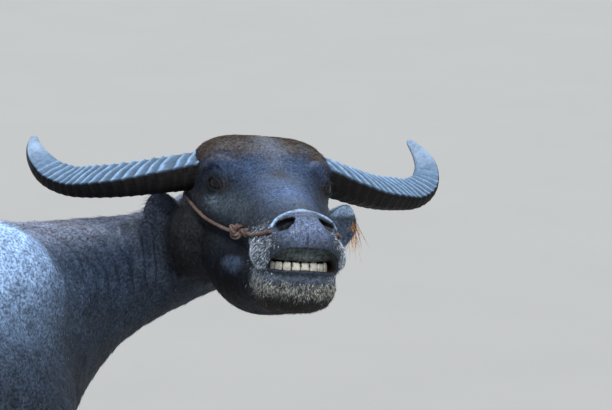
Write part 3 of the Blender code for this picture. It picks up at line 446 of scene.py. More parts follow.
# Linear colours of the hide, of what grows from it, of the mouth, the rope and the eyes
BLACK = np.array((0.007, 0.0076, 0.01))
# Blue-black hide, its blue partly a painted sky sheen
SLATE = np.array((0.021, 0.033, 0.058))
# Pale blue painted sky sheen on the back, the shoulders and the shoulder mound
SKY_SHEEN_PALE = np.array((0.165, 0.24, 0.37))
# A painted highlight on the cheek's bulge
CHEEK_HIGHLIGHT_BLUE = np.array((0.066, 0.095, 0.155))
# Grey lower sides, where the painted blue sky sheen has faded
GREY_SIDE = np.array((0.021, 0.026, 0.034))
BROWN = np.array((0.048, 0.034, 0.026))
EARTH = np.array((0.03, 0.025, 0.021))
LIP = np.array((0.1, 0.125, 0.165))
PAD = np.array((0.07, 0.085, 0.08))
GUM = np.array((0.04, 0.018, 0.015))
# Painted sky sheen on the forehead, the bridge and over the eyes
FACE_SHEEN_BLUE = np.array((0.042, 0.075, 0.16))
# Blue-grey: painted sky sheen on the cheeks, and, paler, the real skin under the eyes
FACE_GREY = np.array((0.062, 0.082, 0.105))
BROW_GREY = np.array((0.078, 0.088, 0.12))
# Painted sky reflection on the nose pad
NOSE_SHEEN_BLUE = np.array((0.165, 0.215, 0.36))
# A painted highlight on the rim over the nostrils
RIM_HIGHLIGHT_BLUE = np.array((0.27, 0.4, 0.62))
# Near black: painted shade round the eyes, under and behind the jaw, under the chin, at the ear roots and
# inside the nostrils; also the dark edge of the upper lip
DARK_SKIN_AND_SHADE = np.array((0.0085, 0.008, 0.008))
# Painted sky sheen on the top of the left ear
EAR_SHEEN_BLUE = np.array((0.3, 0.42, 0.58))
BRISTLE = np.array((0.33, 0.33, 0.295))
LIP_HAIR = np.array((0.44, 0.5, 0.58))
EAR_GREY = np.array((0.1, 0.135, 0.2))
TOOTH_SPOT = np.array((0.045, 0.024, 0.014))
WHISKER = np.array((0.012, 0.011, 0.011))
GOLD = np.array((0.48, 0.22, 0.06))
# Painted sky sheen on the horns' upper faces
HORN_SKY_SHEEN = np.array((0.115, 0.18, 0.27))
# The horns' dark front faces, darkened further as painted shade
HORN_DARK_AND_SHADE = np.array((0.004, 0.0036, 0.0038))
HORN_TIP = np.array((0.23, 0.31, 0.43))
IVORY = np.array((0.93, 0.885, 0.76))
STAIN = np.array((0.11, 0.055, 0.025))
CLAW_COLOUR = np.array((0.03, 0.027, 0.025))
ROPE_RED = (0.08, 0.04, 0.034, 1)
ROPE_PALE = (0.15, 0.112, 0.098, 1)
EYE_EDGE = np.array((0.012, 0.01, 0.011))
IRIS = np.array((0.009, 0.006, 0.005))
PUPIL = np.array((0.002, 0.002, 0.003))

# The photo's view: compass direction and height of the camera, its distance and its lens,
# and the pixel of the photo where the middle of the eyes stands
VIEW_TURN = math.radians(-132)
VIEW_RISE = math.radians(13)
VIEW_DISTANCE = 5.5
PIXELS_PER_RADIAN = 3025
PHOTO_SIZE = (612, 410)
EYES_PIXEL = (270.5, 186.7)
SENSOR = 36.0

# The floor, the sky and the two lights, each with its strength, width in degrees and colour
FLOOR_SIZE = 40
FLOOR_COLOUR = (0.34, 0.326, 0.308)
SKY_COLOUR = (0.84, 0.92, 1.0, 1)
SKY_STRENGTH = 0.55
LIGHT_ABOVE = (4.3, 45, (0.94, 0.97, 1.0))
LIGHT_BEHIND = (0.9, 50, (0.72, 0.86, 1.0))


def box_middle(node):
    low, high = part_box(node)
    return (Vector(low) + Vector(high)) / 2


EYES_HERE = (box_middle("eye_left") + box_middle("eye_right")) / 2
MOVE = Matrix.Translation(EYES_HERE - EYES_AT)


def head_matrix():
    """The head's place in the body's frame, set so that the eyes' middle is at EYES_AT."""
    turned = (
        Matrix.Rotation(HEAD_TURN, 4, "Z")
        @ Matrix.Rotation(-HEAD_LIFT, 4, "Y")
        @ Matrix.Rotation(HEAD_ROLL, 4, "X")
    )
    middle = turned @ Vector((EYE.x, 0.0, EYE.z))
    return Matrix.Translation(EYES_AT - middle) @ turned


HEAD = head_matrix()


def read_smoothly(table, count):
    """count rows read from a smooth curve through the table's rows."""
    rows = np.array(table, float)
    last = len(rows) - 1
    at = np.linspace(0, last, count)
    i = np.minimum(at.astype(int), last - 1)
    t = (at - i)[:, None]
    p0, p1 = rows[np.maximum(i - 1, 0)], rows[i]
    p2, p3 = rows[i + 1], rows[np.minimum(i + 2, last)]
    return 0.5 * (
        2 * p1
        + (p2 - p0) * t
        + (2 * p0 - 5 * p1 + 4 * p2 - p3) * t**2
        + (3 * p1 - p0 - 3 * p2 + p3) * t**3
    )


def half_powers(angles, square_up, square_down):
    """A rounded section's sideways and upright shares, squarer where the power is higher."""
    power = np.where(np.sin(angles) > 0, 2 / square_up, 2 / square_down)
    side = np.sign(np.cos(angles)) * np.abs(np.cos(angles)) ** power
    rise = np.sign(np.sin(angles)) * np.abs(np.sin(angles)) ** power
    return side, rise


def once_round(count):
    """Equal angles once round, without the closing one."""
    return np.linspace(0, 2 * math.pi, count, endpoint=False)


def section(angles, top, wide, low, half, up, down):
    """A rounded section's points: how far to the side, and how high."""
    side, rise = half_powers(angles, up, down)
    return half * side, wide + np.where(rise > 0, rise * (top - wide), rise * (wide - low))


def heading_at(line, i):
    """The unit way along a line at its point i."""
    return Vector(line[min(i + 1, len(line) - 1)] - line[max(i - 1, 0)]).normalized()


def circle(middle, across, up, radius, sides):
    return [middle + (across * math.cos(a) + up * math.sin(a)) * radius for a in once_round(sides)]


def on_side(place, side):
    """A place given for the animal's left, on the given side."""
    return Vector((place.x, side * place.y, place.z))


def mirror_line(line):
    """A line on the animal's other side, run backwards."""
    return [on_side(p, -1) for p in reversed(line)]


def loft(rings):
    """A closed bmesh through rings of equal count, each end closed by a fan."""
    bm = bmesh.new()
    made = [[bm.verts.new(p) for p in ring] for ring in rings]
    count = len(made[0])
    for a, b in zip(made, made[1:]):
        for i in range(count):
            j = (i + 1) % count
            bm.faces.new((a[i], a[j], b[j], b[i]))
    for ring in (made[0], made[-1]):
        middle = bm.verts.new(sum((v.co for v in ring), Vector()) / count)
        for i in range(count):
            bm.faces.new((ring[i], ring[(i + 1) % count], middle))
    return facing_out(bm)


def facing_out(bm):
    bmesh.ops.recalc_face_normals(bm, faces=bm.faces)
    if bm.calc_volume(signed=True) < 0:
        bmesh.ops.reverse_faces(bm, faces=bm.faces)
    return bm


def linked(name, data):
    obj = bpy.data.objects.new(name, data)
    bpy.context.scene.collection.objects.link(obj)
    return obj


def object_from(name, bm):
    mesh = bpy.data.meshes.new(name)
    bm.to_mesh(mesh)
    bm.free()
    return linked(name, mesh)


def remove(obj):
    mesh = obj.data
    bpy.data.objects.remove(obj)
    bpy.data.meshes.remove(mesh)


def gathered(shapes):
    """All the shapes in one bmesh."""
    whole = bmesh.new()
    for shape in shapes:
        scrap = bpy.data.meshes.new("scrap")
        shape.to_mesh(scrap)
        shape.free()
        whole.from_mesh(scrap)
        bpy.data.meshes.remove(scrap)
    return whole


def taken_up(obj):
    """The object's mesh as a bmesh, with the object removed."""
    shape = bmesh.new()
    shape.from_mesh(obj.data)
    remove(obj)
    return shape


def apply_modifiers(obj):
    """Replaces the object's mesh by what its modifiers make of it."""
    graph = bpy.context.evaluated_depsgraph_get()
    made = bpy.data.meshes.new_from_object(obj.evaluated_get(graph))
    old = obj.data
    obj.modifiers.clear()
    obj.data = made
    bpy.data.meshes.remove(old)


def combine(obj, shape, operation):
    """Takes a closed shape away from the object, or adds it."""
    tool = object_from("tool", shape)
    step = obj.modifiers.new("combine", "BOOLEAN")
    step.operation = operation
    step.solver = "MANIFOLD"
    step.object = tool
    apply_modifiers(obj)
    remove(tool)


def read_rows(values, key):
    """Three numbers of each vertex as an array."""
    rows = np.empty(len(values) * 3, np.float32)
    values.foreach_get(key, rows)
    return rows.reshape(-1, 3).astype(float)


def points_of(obj):
    return read_rows(obj.data.vertices, "co")


def normals_of(obj):
    return read_rows(obj.data.vertex_normals, "vector")


def set_points(obj, points):
    obj.data.vertices.foreach_set("co", points.astype(np.float32).ravel())
    obj.data.update()


def seen_from(place, points):
    """Points in the frame of a thing that is placed by a matrix."""
    back = np.array(place.inverted())
    return points @ back[:3, :3].T + back[:3, 3]


def in_head_frame(points):
    return seen_from(HEAD, points)


def out_of_head(ways):
    """Ways given on the head, turned to the body's frame."""
    return ways @ np.array(HEAD)[:3, :3].T


def trunk_and_neck():
    """The trunk and the neck, one loft along a path that bends to the right behind the head."""
    rings = []
    for x, y, heading, *shape in read_smoothly(TRUNK, 90):
        across, z = section(once_round(40), *shape)
        turn = math.radians(heading)
        rings.append(np.stack([x - across * math.sin(turn), y + across * math.cos(turn), z], 1))
    return loft(rings)


def leg(table, forward, side):
    """One leg from the shoulder or hip down into the hoof."""
    angles = once_round(20)
    rings = []
    for ahead, out, z, half_length, half_width in read_smoothly(table, 46):
        x = forward + ahead + half_length * np.cos(angles)
        y = side * (LEG_SPREAD + out + half_width * np.sin(angles))
        rings.append(np.stack([x, y, np.full_like(x, z)], 1))
    return loft(rings)


def ball(centre, sizes, lean=0.0, segments=20):
    """An ellipsoid, leant about Y."""
    bm = bmesh.new()
    bmesh.ops.create_uvsphere(bm, u_segments=segments, v_segments=segments // 2, radius=1.0)
    place = (
        Matrix.Translation(centre)
        @ Matrix.Rotation(math.radians(lean), 4, "Y")
        @ Matrix.Diagonal((*sizes, 1.0))
    )
    bm.transform(place)
    return bm


def dewclaw_balls(forward, side):
    """The two small dewclaws behind a fetlock."""
    outs = (LEG_SPREAD + 0.07 + off for off in (-0.02, 0.02))
    return [ball((forward - 0.047, side * out, 0.118), (0.017, 0.012, 0.018), 30, 12) for out in outs]


def head_section(x, *shape):
    across, z = section(once_round(48), *shape)
    return np.stack([np.full_like(z, x), across, z], 1)


def head_lofts():
    """The upper head and the lower jaw."""
    tables = ((SKULL, 80), (JAW, 60))
    return [loft([head_section(*row) for row in read_smoothly(table, count)]) for table, count in tables]


def mouth_cutter():
    """The parted lips: an arch with a flat floor, open to the front."""
    side, rise = half_powers(np.linspace(0, math.pi, 25), 2.8, 2.0)
    rings = []
    for x, half, top in read_smoothly(MOUTH, 16):
        z = MOUTH_Z + (top - MOUTH_Z) * rise
        rings.append(np.stack([np.full_like(side, x), half * side, z], 1))
    return loft(rings)


def nostril_place(side):
    """Where a nostril's hollow is and how it is turned: along it, into the head and across."""
    along = Vector((-0.78, side * 0.5, -0.38)).normalized()
    inward = Vector((-0.8, -side * 0.55, 0.1))
    inward = (inward - along * inward.dot(along)).normalized()
    turned = Matrix((along, inward, along.cross(inward))).transposed().to_4x4()
    out = NOSTRIL.y + (0.003 if side < 0 else 0.0065)
    return Matrix.Translation((NOSTRIL.x - 0.004, side * out, NOSTRIL.z)) @ turned


def nostril_cutter(side):
    """A long hollow that slants down, back and outwards, wider at its upper end."""
    size = 1.0 if side < 0 else 0.8
    outer = ball((0, 0, 0), (0.0165 * size, 0.036, 0.0078 * size), segments=32)
    inner = ball((-0.0075 * size, 0, 0.001), (0.009 * size, 0.036, 0.01 * size), segments=32)
    for shape in (outer, inner):
        shape.transform(nostril_place(side))
        facing_out(shape)
    return [outer, inner]


def nose_rim():
    half = [Vector(p) for p in NOSE_RIM]
    fine = read_smoothly(mirror_line(half[1:]) + half, 40)
    return facing_out(tube([Vector(row) for row in fine], NOSE_RIM_RADIUS, 16))


def lid_balls():
    return [ball(on_side(EYE, side), (LID_RADIUS,) * 3, segments=40) for side in SIDES]


def on_teeth_arc(turn, ahead=0.0, above=0.0):
    """A place on the curve of the front teeth, moved ahead and up."""
    back = TEETH_ARC_RADIUS * (1 - math.cos(turn))
    return Vector((TEETH_FRONT + ahead - back, TEETH_ARC_RADIUS * math.sin(turn), MOUTH_Z + above))


def palate_pad():
    """The hard pad that stands where upper front teeth would be."""
    rings = []
    for turn in np.linspace(-0.85, 0.85, 21):
        middle = on_teeth_arc(turn, 0.009, 0.026)
        out = Vector((math.cos(turn), math.sin(turn), 0))
        rings.append([
            middle + out * 0.01 * math.cos(a) + Vector((0, 0, 0.0125 * math.sin(a)))
            for a in once_round(12)
        ])
    return loft(rings)


def fused(name, shapes, voxel):
    """One closed skin round overlapping closed shapes, made of small cells."""
    obj = object_from(name, gathered(shapes))
    remesh = obj.modifiers.new("fuse", "REMESH")
    remesh.mode = "VOXEL"
    remesh.voxel_size = voxel
    apply_modifiers(obj)
    return obj


def swell(points):
    """Pushes the head's points by its soft swellings and hollows, on both sides."""
    moved = points.copy()
    for centre, reach, push in SWELLINGS:
        for side in SIDES:
            at = np.array(centre) * (1, side, 1)
            far = np.linalg.norm(points - at, axis=1) / reach
            moved += np.exp(-(far**2))[:, None] * np.array(push) * (1, side, 1)
    return moved


def smooth(obj, times):
    step = obj.modifiers.new("smooth", "SMOOTH")
    step.factor = 0.5
    step.iterations = times
    apply_modifiers(obj)


def add_weights(obj, name, masks_and_weights):
    """A group of vertices with one weight for each mask, the later masks last."""
    group = obj.vertex_groups.new(name=name)
    for picked, weight in masks_and_weights:
        group.add([int(i) for i in np.nonzero(picked)[0]], weight, "REPLACE")


def smooth_some(obj, times, halves):
    """Smooths the picked points, half as much in the first pick's rim as in the second pick."""
    add_weights(obj, "soft", zip(halves, (0.5, 1.0)))
    step = obj.modifiers.new("soft", "SMOOTH")
    step.factor = 0.5
    step.iterations = times
    step.vertex_group = "soft"
    apply_modifiers(obj)
    obj.vertex_groups.clear()


def head_flesh():
    """The head with its lips parted, its nostrils and its pad, in the body's frame."""
    head = fused("head_flesh", head_lofts(), HEAD_FINE)
    smooth(head, 12)
    set_points(head, swell(points_of(head)))
    head = raised(head, [nose_rim()] + lid_balls())
    smooth(head, 2)
    for cutter in [mouth_cutter()] + nostril_cutter(1) + nostril_cutter(-1):
        combine(head, cutter, "DIFFERENCE")
    head = raised(head, [palate_pad()])
    head.data.transform(HEAD)
    return head


def raised(head, shapes):
    """The head fused anew with some more closed shapes."""
    return fused("head_flesh", [taken_up(head)] + shapes, HEAD_FINE)


def body_flesh():
    """All the flesh as one closed skin, fine and smooth."""
    shapes = [trunk_and_neck(), tail_shape()]
    for _, table, forward, side in LEGS:
        shapes.append(leg(table, forward, side))
        shapes += dewclaw_balls(forward, side)
    for (x, y, z), sizes, lean in MASSES:
        shapes += [ball((x, side * y, z), sizes, lean) for side in SIDES]
    body = fused("flesh", shapes, ROUGH)
    smooth(body, 10)
    z = points_of(body)[:, 2]
    smooth_some(body, 150, (z > 0.58, z > 0.68))
    head = head_flesh()
    folds = [ball(centre, sizes) for centre, sizes in THROAT_FOLDS]
    for fold in folds:
        fold.transform(HEAD)
    flesh = fused("flesh", folds + [taken_up(body), taken_up(head)], FINE)
    ahead, away = head_reach(flesh)
    smooth_some(flesh, 8, ((ahead < 0.38) | (away > 0.45), (ahead < 0.35) | (away > 0.45)))
    smooth_some(flesh, 150, ((away < 0.45) & (ahead < 0.02), (away < 0.4) & (ahead < -0.02)))
    return flesh


def head_reach(obj):
    """How far each point is ahead of the poll, and how far from the eyes' middle."""
    points = points_of(obj)
    return in_head_frame(points)[:, 0], np.linalg.norm(points - np.array(EYES_AT), axis=1)


def thin_out(flesh):
    """Fewer, larger faces where the skin is plain, and more on the head."""
    ahead, away = head_reach(flesh)
    close = away < 0.42
    plain = np.full(len(ahead), True)
    head_masks = ((close & (ahead > 0.0), 0.5), (close & (ahead > 0.36), 0.1))
    add_weights(flesh, "coarse", ((plain, 1.0),) + head_masks)
    step = flesh.modifiers.new("fewer", "DECIMATE")
    step.ratio = SKIN_FACES / (2 * len(flesh.data.polygons))
    step.vertex_group = "coarse"
    step.vertex_group_factor = HEAD_KEEP
    step.use_collapse_triangulate = True
    apply_modifiers(flesh)


def tube(points, radius, sides):
    """A round tube along a line."""
    across = heading_at(points, 0).orthogonal()
    rings = []
    for i, point in enumerate(points):
        along = heading_at(points, i)
        across = (across - along * across.dot(along)).normalized()
        rings.append(circle(point, across, along.cross(across), radius, sides))
    return loft(rings)


def tail_shape():
    """The tail down to its switch."""
    fine = read_smoothly(TAIL, 18)
    across = Vector((0, 1, 0))
    rings = []
    for i, (x, y, z, radius) in enumerate(fine):
        up = across.cross(heading_at(fine[:, :3], i)).normalized()
        rings.append(circle(Vector((x, y, z)), across, up, radius, 10))
    return loft(rings)


def waves(points, size, seed, count=8):
    """A smooth random height at each point, about -1 to 1, in lumps of about the given size."""
    rng = np.random.default_rng(seed)
    total = np.zeros(len(points))
    for _ in range(count):
        way = rng.normal(size=3)
        way *= rng.uniform(0.7, 1.4) * math.pi / (size * np.linalg.norm(way))
        total += np.sin(points @ way + rng.uniform(0, 2 * math.pi))
    return total / math.sqrt(count)


def near(points, centre, reach):
    """1 at a centre, falling smoothly to 0 past its reach, which may differ by direction."""
    far = (points - np.array(centre)) / np.array(reach)
    return np.exp(-(far**2).sum(axis=1))


def near_both(points, centre, reach):
    """Near a centre or near its mirror image."""
    return sum(near(points * (1, side, 1), centre, reach) for side in SIDES)


def rising(values, low, high):
    """0 below low, 1 above high and smooth between."""
    t = np.clip((values - low) / (high - low), 0, 1)
    return t * t * (3 - 2 * t)


def on_the_head(head, low, high, length):
    """1 on the head, falling to 0 behind the poll and away from it."""
    return rising(head[:, 0], low, high) * near(head, HEAD_MIDDLE, (length, 0.2, 0.25))


def unit(rows):
    return rows / np.maximum(np.linalg.norm(rows, axis=1, keepdims=True), 1e-9)


def distance_to_line(points, line):
    """How far each point is from a smooth line through a few points, and its share along the line."""
    steps = read_smoothly(line, 24)
    best = np.full(len(points), 9.0)
    share = np.zeros(len(points))
    for i, (a, b) in enumerate(zip(steps, steps[1:])):
        t = np.clip(((points - a) @ (b - a)) / max((b - a) @ (b - a), 1e-9), 0, 1)
        far = np.linalg.norm(points - a - t[:, None] * (b - a), axis=1)
        closer = far < best
        best[closer] = far[closer]
        share[closer] = (i + t[closer]) / (len(steps) - 1)
    return best, share


def creases(points, folds, both_sides):
    """Heights that press each fold in as a valley with a soft ridge on each side."""
    height = np.zeros(len(points))
    for line, width, depth in folds:
        for side in SIDES if both_sides else (1,):
            path = [(x, y * side, z) for x, y, z in line]
            low, high = np.min(path, axis=0) - 5 * width, np.max(path, axis=0) + 5 * width
            picked = np.nonzero(((points > low) & (points < high)).all(axis=1))[0]
            if not len(picked):
                continue
            wavy = points[picked] + 0.25 * width * waves(points[picked], 0.03, 3)[:, None]
            far, share = distance_to_line(wavy, path)
            fade = rising(share, 0.0, 0.15) * rising(1 - share, 0.0, 0.25)
            valley = -np.exp(-((far / width) ** 2)) + 0.45 * np.exp(-((far / width - 2.0) ** 2))
            height[picked] += depth * fade * valley
    return height


def sculpt(skin):
    """Presses folds and soft unevenness into the body, and draws it in by the coat's depth."""
    points = points_of(skin)
    head = in_head_frame(points)
    height = creases(points, NECK_FOLDS, False)
    height += creases(points, SHOULDER_FOLDS, True)
    off_head = 1 - near(head, HEAD_MIDDLE, (0.32, 0.2, 0.2))
    height += 0.0022 * off_head * waves(points * (1, 1, 0.6), 0.09, 21)
    height += 0.0007 * off_head * waves(points * (1.4, 1.4, 0.7), 0.022, 22)
    set_points(skin, points + normals_of(skin) * (height - COAT_DEPTH)[:, None])


def refine_head(skin):
    """Splits the faces of the head, so that it can carry small folds."""
    ahead, away = head_reach(skin)
    picked = (ahead > 0.06) & (away < 0.4)
    bm = bmesh.new()
    bm.from_mesh(skin.data)
    bm.verts.ensure_lookup_table()
    edges = [e for e in bm.edges if picked[e.verts[0].index] and picked[e.verts[1].index]]
    bmesh.ops.subdivide_edges(bm, edges=edges, cuts=1)
    bmesh.ops.triangulate(bm, faces=[f for f in bm.faces if len(f.verts) > 3])
    bm.to_mesh(skin.data)
    bm.free()
    ahead = head_reach(skin)[0]
    smooth_some(skin, 2, (ahead > 0.05, ahead > 0.08))


def sculpt_face(skin):
    """Small folds and unevenness of the face, lids, muzzle and lips."""
    points = points_of(skin)
    head = in_head_frame(points)
    on_head = near(head, HEAD_MIDDLE, (0.32, 0.2, 0.2))
    height = creases(head, FACE_FOLDS, True)
    height += creases(head, BROW_ARCH, True)
    height += 0.0004 * on_head * waves(head, 0.026, 23)
    for side in SIDES:
        level, rise, depth = seen_from_eye(head, side)
        ring = np.hypot(level / 1.3, rise)
        front = rising(depth, 0.0, 0.01)
        for radius, width, deep in LID_RINGS:
            strength = deep * front * (0.35 + 0.65 * rising(rise, -0.012, 0.01))
            height -= strength * np.exp(-(((ring - radius) / width) ** 2))
            height += 0.5 * strength * np.exp(-(((ring - radius + 2 * width) / width) ** 2))
    muzzle = near(head, (0.465, 0, -0.09), (0.035, 0.055, 0.03))
    height += 0.0006 * muzzle * waves(head, 0.007, 24)
    lips = near(head, (0.43, 0, -0.15), (0.06, 0.12, 0.055)) * (1 - muzzle)
    height += 0.0008 * lips * waves(head, 0.01, 25)
    philtrum = near(head, (0.475, 0, -0.104), (0.03, 1, 0.013))
    height -= 0.0034 * np.exp(-((head[:, 1] / 0.0018) ** 2)) * philtrum
    groove = near(head, (0.455, 0, -0.131), (0.02, 1, 0.012))
    height -= 0.0018 * np.exp(-((head[:, 1] / 0.0025) ** 2)) * groove
    set_points(skin, points + normals_of(skin) * height[:, None])


def eye_axes(side):
    """The way an eye looks, the way from its front corner to its back one, and up across it."""
    out = Vector((0.5, side * 0.86, 0.06)).normalized()
    level = Vector((-1, 0, 0.3))
    back = (level - out * out.dot(level)).normalized()
    return out, back, out.cross(back) * side


def seen_from_eye(head, side):
    """How far places on the head are from an eye, towards its back corner, upwards and outwards."""
    out, back, up = (np.array(axis) for axis in eye_axes(side))
    from_eye = head - np.array(on_side(EYE, side))
    return from_eye @ back, from_eye @ up, from_eye @ out


def almond(side):
    """A prism that opens the lids, pointed at both corners and flared outwards."""
    out, back, up = eye_axes(side)
    place = on_side(EYE, side)
    rings = []
    for depth, spread in ((0.002, 0.85), (0.014, 0.96), (0.021, 1.0), (0.027, 1.08), (0.045, 1.3)):
        ring = []
        for a in once_round(40):
            rise = math.sin(a) * abs(math.sin(a)) ** 0.35 * (1.0 if math.sin(a) > 0 else 0.86)
            away = back * (EYE_OPENING[0] * math.cos(a)) + up * (EYE_OPENING[1] * rise)
            ring.append(place + out * depth + away * spread)
        rings.append(ring)
    bm = loft(rings)
    bm.transform(HEAD)
    return facing_out(bm)


def open_eyes(skin):
    for side in SIDES:
        combine(skin, almond(side), "DIFFERENCE")


def ear(side):
    """A leaf-shaped ear, rolled into a cup that opens forwards."""
    mirror = Matrix.Diagonal((1, side, 1, 1))
    reach = EAR_TIPS["left" if side > 0 else "right"] - EAR_ROOT
    along = reach.normalized()
    across = Vector((along.y, -along.x, -0.25)).cross(along).normalized()
    open_way = along.cross(across).normalized()
    rings = []
    for share, wide, curl in read_smoothly(EAR_SHAPE, 44):
        half = EAR_HALF_WIDTH * wide
        sweep = np.linspace(-curl, curl, 29)
        radius = half / max(math.sin(min(curl, 1.5)), 0.3)
        wall = EAR_WALL * (1.5 - share)
        middle = EAR_ROOT + reach * share + open_way * 0.012 * math.sin(math.pi * share)
        ring = []
        for depth, order in ((0.0, sweep), (wall, sweep[::-1])):
            for t in order:
                thin = depth * (1 - 0.6 * (abs(t) / curl) ** 4)
                rib = 0.001 * math.cos(9 * t) * math.sin(math.pi * share) if depth else 0.0
                deep = radius - (radius - thin + rib) * math.cos(t)
                wide_at = (radius - thin) * math.sin(t)
                ring.append(middle + across * wide_at + open_way * (deep - 0.5 * half))
        rings.append(ring)
    bm = loft(rings)
    bm.transform(HEAD @ mirror)
    return facing_out(bm)


def add_ears(skin):
    """Joins the ears on and softens the skin round their roots."""
    for side in SIDES:
        combine(skin, ear(side), "UNION")
    head = in_head_frame(points_of(skin))
    roots = [np.array(on_side(EAR_ROOT, side)) for side in SIDES]
    far = np.min([np.linalg.norm(head - root, axis=1) for root in roots], axis=0)
    smooth_some(skin, 10, (far < EAR_SOFT, far < 0.7 * EAR_SOFT))


# Patches of colour on the head, in its own frame: place, reach, colour and strength. They are laid on
# in this order, each on both sides if its place is off the middle
# Painted sky sheen: blue on the forehead, the bridge and over the eyes, blue-grey on the cheeks; then a
# dark patch on the forehead
FACE_PATCHES = (
    ((0.205, 0, 0.012), (0.085, 0.095, 0.045), FACE_SHEEN_BLUE * 0.75, 0.9),
    ((0.32, 0, -0.025), (0.1, 0.05, 0.045), FACE_SHEEN_BLUE * 1.15, 0.95),
    ((0.16, 0.09, 0.02), (0.04, 0.034, 0.026), FACE_SHEEN_BLUE, 0.7),
    ((0.19, 0.105, -0.064), (0.075, 0.035, 0.02), FACE_GREY, 0.9),
    ((0.26, 0.078, -0.07), (0.06, 0.03, 0.03), FACE_GREY * 0.8, 0.8),
    ((0.232, 0, -0.002), (0.028, 0.02, 0.02), BROWN * 0.35, 0.8),
)
# The pale stripe of the brow's whorl, painted shade round the eyes, brown at their front corners, pale skin
# under them, and painted shade behind and under the jaw
EYE_PATCHES = (
    ((0.15, -0.006, 0.044), (0.075, 0.017, 0.04), BROW_GREY, 0.85),
    ((0.172, 0.108, -0.024), (0.038, 0.034, 0.024), DARK_SKIN_AND_SHADE * 0.4, 1.0),
    ((0.196, 0.098, -0.03), (0.016, 0.02, 0.012), BROWN * 0.5, 0.7),
    ((0.172, 0.112, -0.058), (0.026, 0.022, 0.009), FACE_GREY * 1.9, 0.8),
    ((0.075, 0.125, -0.115), (0.11, 0.045, 0.06), DARK_SKIN_AND_SHADE * 1.8, 0.9),
    ((0.02, -0.1301, -0.16), (0.08, 0.06, 0.09), DARK_SKIN_AND_SHADE * 1.6, 0.9),
    ((0.22, 0.08, -0.205), (0.2, 0.06, 0.05), DARK_SKIN_AND_SHADE * 0.6, 0.95),
)
# Painted shade in the mouth's corners, painted sky reflection on the nose pad, and painted shade under the
# chin
MUZZLE_PATCHES = (
    ((0.415, 0.078, -0.138), (0.045, 0.026, 0.034), LIP * 0.4, 0.85),
    ((0.474, 0, -0.086), (0.034, 0.042, 0.024), NOSE_SHEEN_BLUE, 0.95),
    ((0.43, 0, -0.21), (0.055, 0.09, 0.03), DARK_SKIN_AND_SHADE * 0.6, 1.0),
)
# The lower lip's blue-grey band, the upper lip's dark edge, and a painted shade line in the philtrum's
# groove
LIP_PATCHES = (
    ((0.44, 0, -0.171), (0.03, 0.07, 0.008), LIP, 0.9),
    ((0.455, 0, -0.112), (0.03, 0.08, 0.007), DARK_SKIN_AND_SHADE * 1.5, 0.85),
    ((0.48, 0, -0.106), (0.02, 0.0016, 0.01), BLACK * 0.4, 1.0),
)


def blend_patches(head, blend, patches):
    for (x, y, z), reach, colour, share in patches:
        for side in SIDES if y else (1,):
            blend(colour, share * near(head, (x, y * side, z), reach))


def blend_head(head, blend):
    """The head's colours: painted sky sheen, blue where it faces up, brown hair on the brow, and painted
    shade on the dark lower sides, round the eyes and in the nostrils.
    """
    x, y, z = head.T
    on_head = on_the_head(head, -0.05, 0.03, 0.4)
    blend(BLACK * 1.4, 0.85 * on_head)
    blend_patches(head, blend, FACE_PATCHES)
    brow = rising(0.185 - x + 0.25 * np.abs(y), 0.0, 0.05) * rising(z, 0.006, 0.03)
    blend(BROWN * 1.1, brow * np.clip(0.75 + 0.3 * waves(head, 0.016, 34), 0, 1))
    blend_patches(head, blend, EYE_PATCHES)
    # A painted highlight on the bulge of the cheek
    spot = np.hypot((x - 0.258) / 0.062, (z + 0.164) / 0.0165)
    cheek = (np.abs(np.abs(y) - 0.082) < 0.05) * on_head
    blend(CHEEK_HIGHLIGHT_BLUE, 0.92 * rising(-spot, -1.1, -0.55) * cheek)
    blend_patches(head, blend, MUZZLE_PATCHES)
    blend_rim_highlight(head, blend)
    blend_patches(head, blend, LIP_PATCHES)
    # Painted shade deep inside the nostrils
    for side in SIDES:
        local = seen_from(nostril_place(side), head)
        within = ((local / (0.021, 0.04, 0.012)) ** 2).sum(axis=1) < 1
        blend(DARK_SKIN_AND_SHADE * 0.35, within * rising(local[:, 1], 0.001, 0.007))


def blend_rim_highlight(head, blend):
    """A painted highlight on the upper side of the rim over the nostrils."""
    _, y, z = head.T
    rim_y, rim_z = [p[1] for p in NOSE_RIM], [p[2] for p in NOSE_RIM]
    for side in SIDES:
        rim = distance_to_line(head * (1, side, 1), NOSE_RIM)[0]
        level = np.interp(y * side, rim_y, rim_z)
        over = rising(z - level, 0.0005, 0.005) * (y * side > -0.001)
        over = over * np.clip(0.75 + 0.35 * waves(head, 0.012, 35), 0, 1)
        blend(RIM_HIGHLIGHT_BLUE, 0.95 * rising(-rim, -0.011, -0.007) * over)


